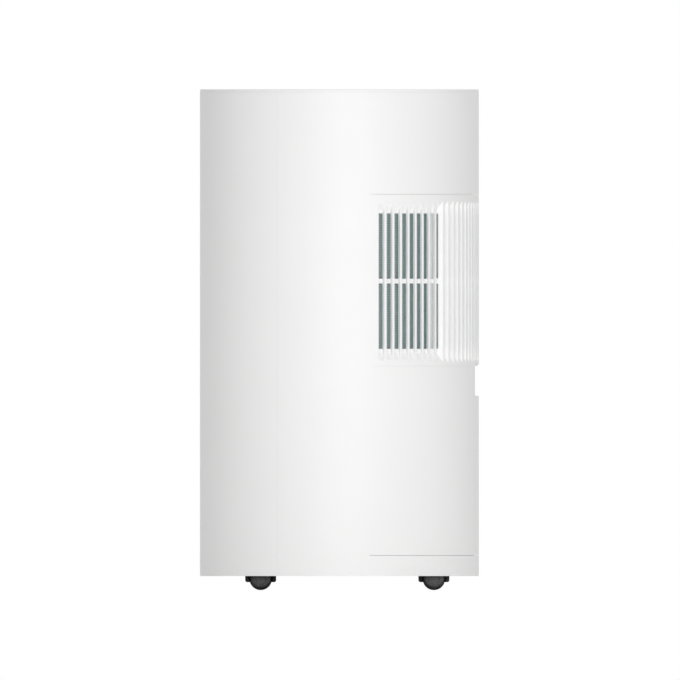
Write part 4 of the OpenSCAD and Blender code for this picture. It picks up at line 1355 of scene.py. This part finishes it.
@dataclass
class Electrics:
    """Control box with its power board, run capacitor, relay and terminal row."""

    box_edge: float = 0.6
    board_thickness: float = 3.0
    can_x: float = -36.0
    can_height: float = 80.0
    can_radius: float = 16.0
    can_length: float = 28.0
    can_bead: tuple[Pair, ...] = ((0.0, 4.0), (0.8, 3.2), (0.0, 2.4), (0.0, 1.0), (1.0, 0.0), (2.0, 0.8))
    relay_low: Pair = (10.0, 20.0)
    relay_high: Pair = (50.0, 60.0)
    relay_depth: float = 16.0
    relay_edge: float = 0.8
    terminals: int = 8
    terminal_pitch: float = 11.0
    terminal_size: float = 9.0
    terminal_below: Pair = (14.0, 4.0)
    terminal_edge: float = 0.4

    def build(self) -> None:
        """Build the board and its parts from the node's own box and finish the control box."""
        node = "circuit_board"
        low, high = (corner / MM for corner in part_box(node))
        face = high.y - self.board_thickness
        Shape.block((low.x, face, low.z), high).piece(
            "power_board", "cabinet", "board", Finishes.BOARD, 0.0, [node]
        )
        r, end = self.can_radius, self.can_length
        can = [(0.0, 0.0), (r, 0.0)] + [(r - inward, end - down) for inward, down in self.can_bead]
        can.append((0.0, can[-1][1]))
        place = shift(self.can_x, face, low.z + self.can_height) @ turn(Axis.X, 90)
        Shape.revolved(can, step=7.5).turned(place).piece(
            "run_capacitor", "cabinet", "board", Finishes.CAN, 0.0
        )
        (x0, z0), (x1, z1) = self.relay_low, self.relay_high
        Shape.block((x0, face - self.relay_depth, low.z + z0), (x1, face, low.z + z1)).piece(
            "fan_relay", "cabinet", "board", Finishes.HOOD, self.relay_edge
        )
        cells = []
        size, half = self.terminal_size, self.terminal_size / 2
        z0, z1 = (high.z - below for below in self.terminal_below)
        for i in range(self.terminals):
            x = (i - (self.terminals - 1) / 2) * self.terminal_pitch
            cell = Shape.block((x - half, face - size, z0), (x + half, face, z1))
            socket = shift(x, face - size - CUT_CLEAR, (z0 + z1) / 2) @ turn(Axis.X, -90)
            cells.append(cell.with_tools(Cut.AWAY, Shape.rod(size / 3, half, socket, 24)))
        Shape.joined(cells).piece("terminal_row", "cabinet", "board", Finishes.FINE, self.terminal_edge)
        dress("control_box", Finishes.INNER, self.box_edge)


@dataclass
class Casters:
    """Four swivel casters: fender over two domed wheels on one axle."""

    axis_x: float = 86.0938
    axis_y: float = 122.9547
    trail: float = 11.2
    radius: float = 16.0
    # Wheel: bore, tread, domed face and the shallow groove round its cap
    bore: float = 3.3
    inner: float = 0.6
    shoulder: float = 10.0
    crown: float = 11.8
    hub: float = 8.5
    groove: float = 0.15
    groove_edges: Point = (0.3, 1.0, 1.3)
    cap_rise: Pair = (0.1, 0.2)
    cap_wall: float = 0.7
    tread_corner: float = 1.0
    end_play: float = 0.3
    # Hood, axle and stem
    hood_width: float = 32.0
    hood_length: float = 44.0
    hood_low: float = 11.3
    hood_high: float = 36.0
    hood_corner: float = 3.0
    hood_sweep: float = 36.0
    hood_edge: float = 0.7
    web: float = 0.5
    wheel_room: float = 1.5
    axle: float = 3.0
    stem: float = 5.0
    stem_root: float = 34.0
    stem_top: float = 55.0

    def wheel(self) -> Shape:
        """Make one wheel with its axle along X: tread, blind bore and a domed face.

        Returns:
            The wheel, with its hub's centre at the origin.
        """
        radii = (self.radius - self.hub, self.crown - self.shoulder)
        dome = arc((self.hub, self.shoulder), radii, 0, 90, 12)
        bed = self.crown - self.groove
        outer, inner, cap = (self.hub - inward for inward in self.groove_edges)
        face = [(outer, bed), (inner, bed), (cap, self.crown + self.cap_rise[0])]
        floor = self.crown - self.cap_wall
        face += [(0.0, self.crown + self.cap_rise[1]), (0.0, floor), (self.bore, floor)]
        tread = [
            (self.bore, self.inner), (self.radius - self.tread_corner, self.inner),
            (self.radius, self.inner + self.tread_corner),
        ]
        return Shape.revolved(tread + dome + face, step=4).turned(turn(Axis.Y, 90))

    def hood(self) -> Shape:
        """Make one hood on its stem, with the wheels' faces open at both sides.

        Returns:
            The hood, with its stem on the upright axis.
        """
        middle = shift(self.trail, (self.hood_low + self.hood_high) / 2, 0)
        outline = round_rect(self.hood_length, self.hood_high - self.hood_low, self.hood_corner)
        fender = Shape.extruded(outline, self.hood_width, along_x(-self.hood_width / 2) @ middle)
        sweep = Shape.rod(self.hood_sweep, 2 * self.hood_high, Matrix(), 128)
        hub = shift(0, self.trail, self.radius)
        room = Shape.rod(self.radius + self.wheel_room, self.hood_width, hub @ turn(Axis.Y, 90), 96)
        rooms = [room.turned(shift(x, 0, 0)) for x in (self.web, -self.web - self.hood_width)]
        fender = fender.with_tools(Cut.SHARED, sweep).with_tools(Cut.AWAY, *rooms)
        half = self.crown - self.cap_wall - self.end_play
        axle = Shape.rod(self.axle, 2 * half, hub @ shift(-half, 0, 0) @ turn(Axis.Y, 90), 32)
        stem = Shape.rod(self.stem, self.stem_top - self.stem_root, shift(0, 0, self.stem_root))
        return fender.with_tools(Cut.ADD, axle, stem)

    def build(self) -> None:
        """Build the wheels and the hoods."""
        wheel, hood = self.wheel(), self.hood()
        for corner, sx, sy in (("fr", 1, -1), ("fl", -1, -1), ("rr", 1, 1), ("rl", -1, 1)):
            stem = shift(sx * self.axis_x, sy * self.axis_y, 0)
            hub = stem @ shift(0, self.trail, self.radius)
            node = f"caster_hood_{corner}"
            hood.turned(stem).piece(
                f"{node}_fender", f"caster_{corner}", "caster_plastic", Finishes.HOOD, self.hood_edge, [node]
            )
            node = f"caster_wheel_{corner}"
            Shape.joined([wheel.turned(hub), wheel.turned(hub @ MIRROR)]).piece(
                f"{node}_domes", f"wheel_{corner}", "caster_wheel", Finishes.WHEEL, 0.0, [node]
            )


@dataclass(frozen=True)
class Lamp:
    """Soft panel lamp: its centre and size in millimetres and its power in watts."""

    name: str
    place: Point
    size: Pair
    power: float

    def hang(self, height: float) -> None:
        """Hang the lamp so that it faces a point on the upright axis.

        Args:
            height: That point's height.
        """
        data = bpy.data.lights.new(self.name, "AREA")
        data.shape = "RECTANGLE"
        data.size, data.size_y = self.size[0] * MM, self.size[1] * MM
        data.energy = self.power
        obj = new_object(self.name, data)
        obj.location = Vector(self.place) * MM
        aim = Vector((0, 0, height * MM)) - obj.location
        obj.rotation_euler = aim.to_track_quat("-Z", "Y").to_euler()


@dataclass
class Studio:
    """Floor, lamps, world and camera."""

    view_height: float = 355.1
    view_side: float = 0.85
    view_width: float = 965.4
    view_distance: float = 2500.0
    ambient: float = 0.5
    lamps: tuple[Lamp, ...] = (
        Lamp("key", (2600, 300, 475), (2000, 950), 25.5),
        Lamp("top", (-1500, 300, 2500), (1600, 1600), 18.0),
    )
    floor_radius: float = 6000.0

    def world(self) -> None:
        """Make a white surround whose light on the object is softer than its look."""
        world = bpy.data.worlds.new("surround")
        world.use_nodes = True
        tree = world.node_tree
        tree.nodes.clear()
        rays = add_node(tree, "LightPath").outputs
        seen = rays["Is Camera Ray"]
        for name in ("Is Glossy Ray", "Is Transmission Ray"):
            seen = add_node(tree, "Math", {"operation": "MAXIMUM"}, {0: seen, 1: rays[name]})
        ends = {"To Min": self.ambient, "To Max": 1.0}
        level = add_node(tree, "MapRange", ends, {"Value": seen})
        light = add_node(tree, "Background", {"Color": (1, 1, 1, 1)}, {"Strength": level})
        add_node(tree, "OutputWorld", {}, {"Surface": light})
        bpy.context.scene.world = world

    def floor(self) -> None:
        """Lay a round floor."""
        bm = bmesh.new()
        bmesh.ops.create_circle(bm, cap_ends=True, segments=128, radius=self.floor_radius * MM)
        mesh = bpy.data.meshes.new("floor")
        bm.to_mesh(mesh)
        bm.free()
        obj = new_object("floor", mesh)
        set_finish(obj, Finishes.PAPER)

    def camera(self) -> None:
        """Set a level camera on the right-hand side, without perspective."""
        data = bpy.data.cameras.new("camera")
        data.type = "ORTHO"
        data.ortho_scale = self.view_width * MM
        data.clip_end = 8 * self.view_distance * MM
        obj = new_object("camera", data)
        obj.location = Vector((self.view_distance, self.view_side, self.view_height)) * MM
        obj.rotation_euler = (math.radians(90), 0, math.radians(90))
        bpy.context.scene.camera = obj

    def build(self) -> None:
        """Set the whole studio up."""
        bpy.context.scene.view_settings.view_transform = "Standard"
        self.world()
        for lamp in self.lamps:
            lamp.hang(self.view_height)
        self.floor()
        self.camera()


def main() -> None:
    """Build every sub-assembly and set up the studio."""
    logging.basicConfig(level=logging.INFO, format="%(message)s")
    evaporator, condenser = Coil(Side.COLD), Coil(Side.WARM, facing=90.0, bends=10)
    assemblies = (
        Shell(), Grille(), Filter(), Base(), Top(), Outlet(), AirUnit(evaporator), AirUnit(condenser),
        Sealed(), Exhaust(), Electrics(), Casters(), Studio(),
    )
    for assembly in assemblies:
        assembly.build()


if __name__ == "__main__":
    main()
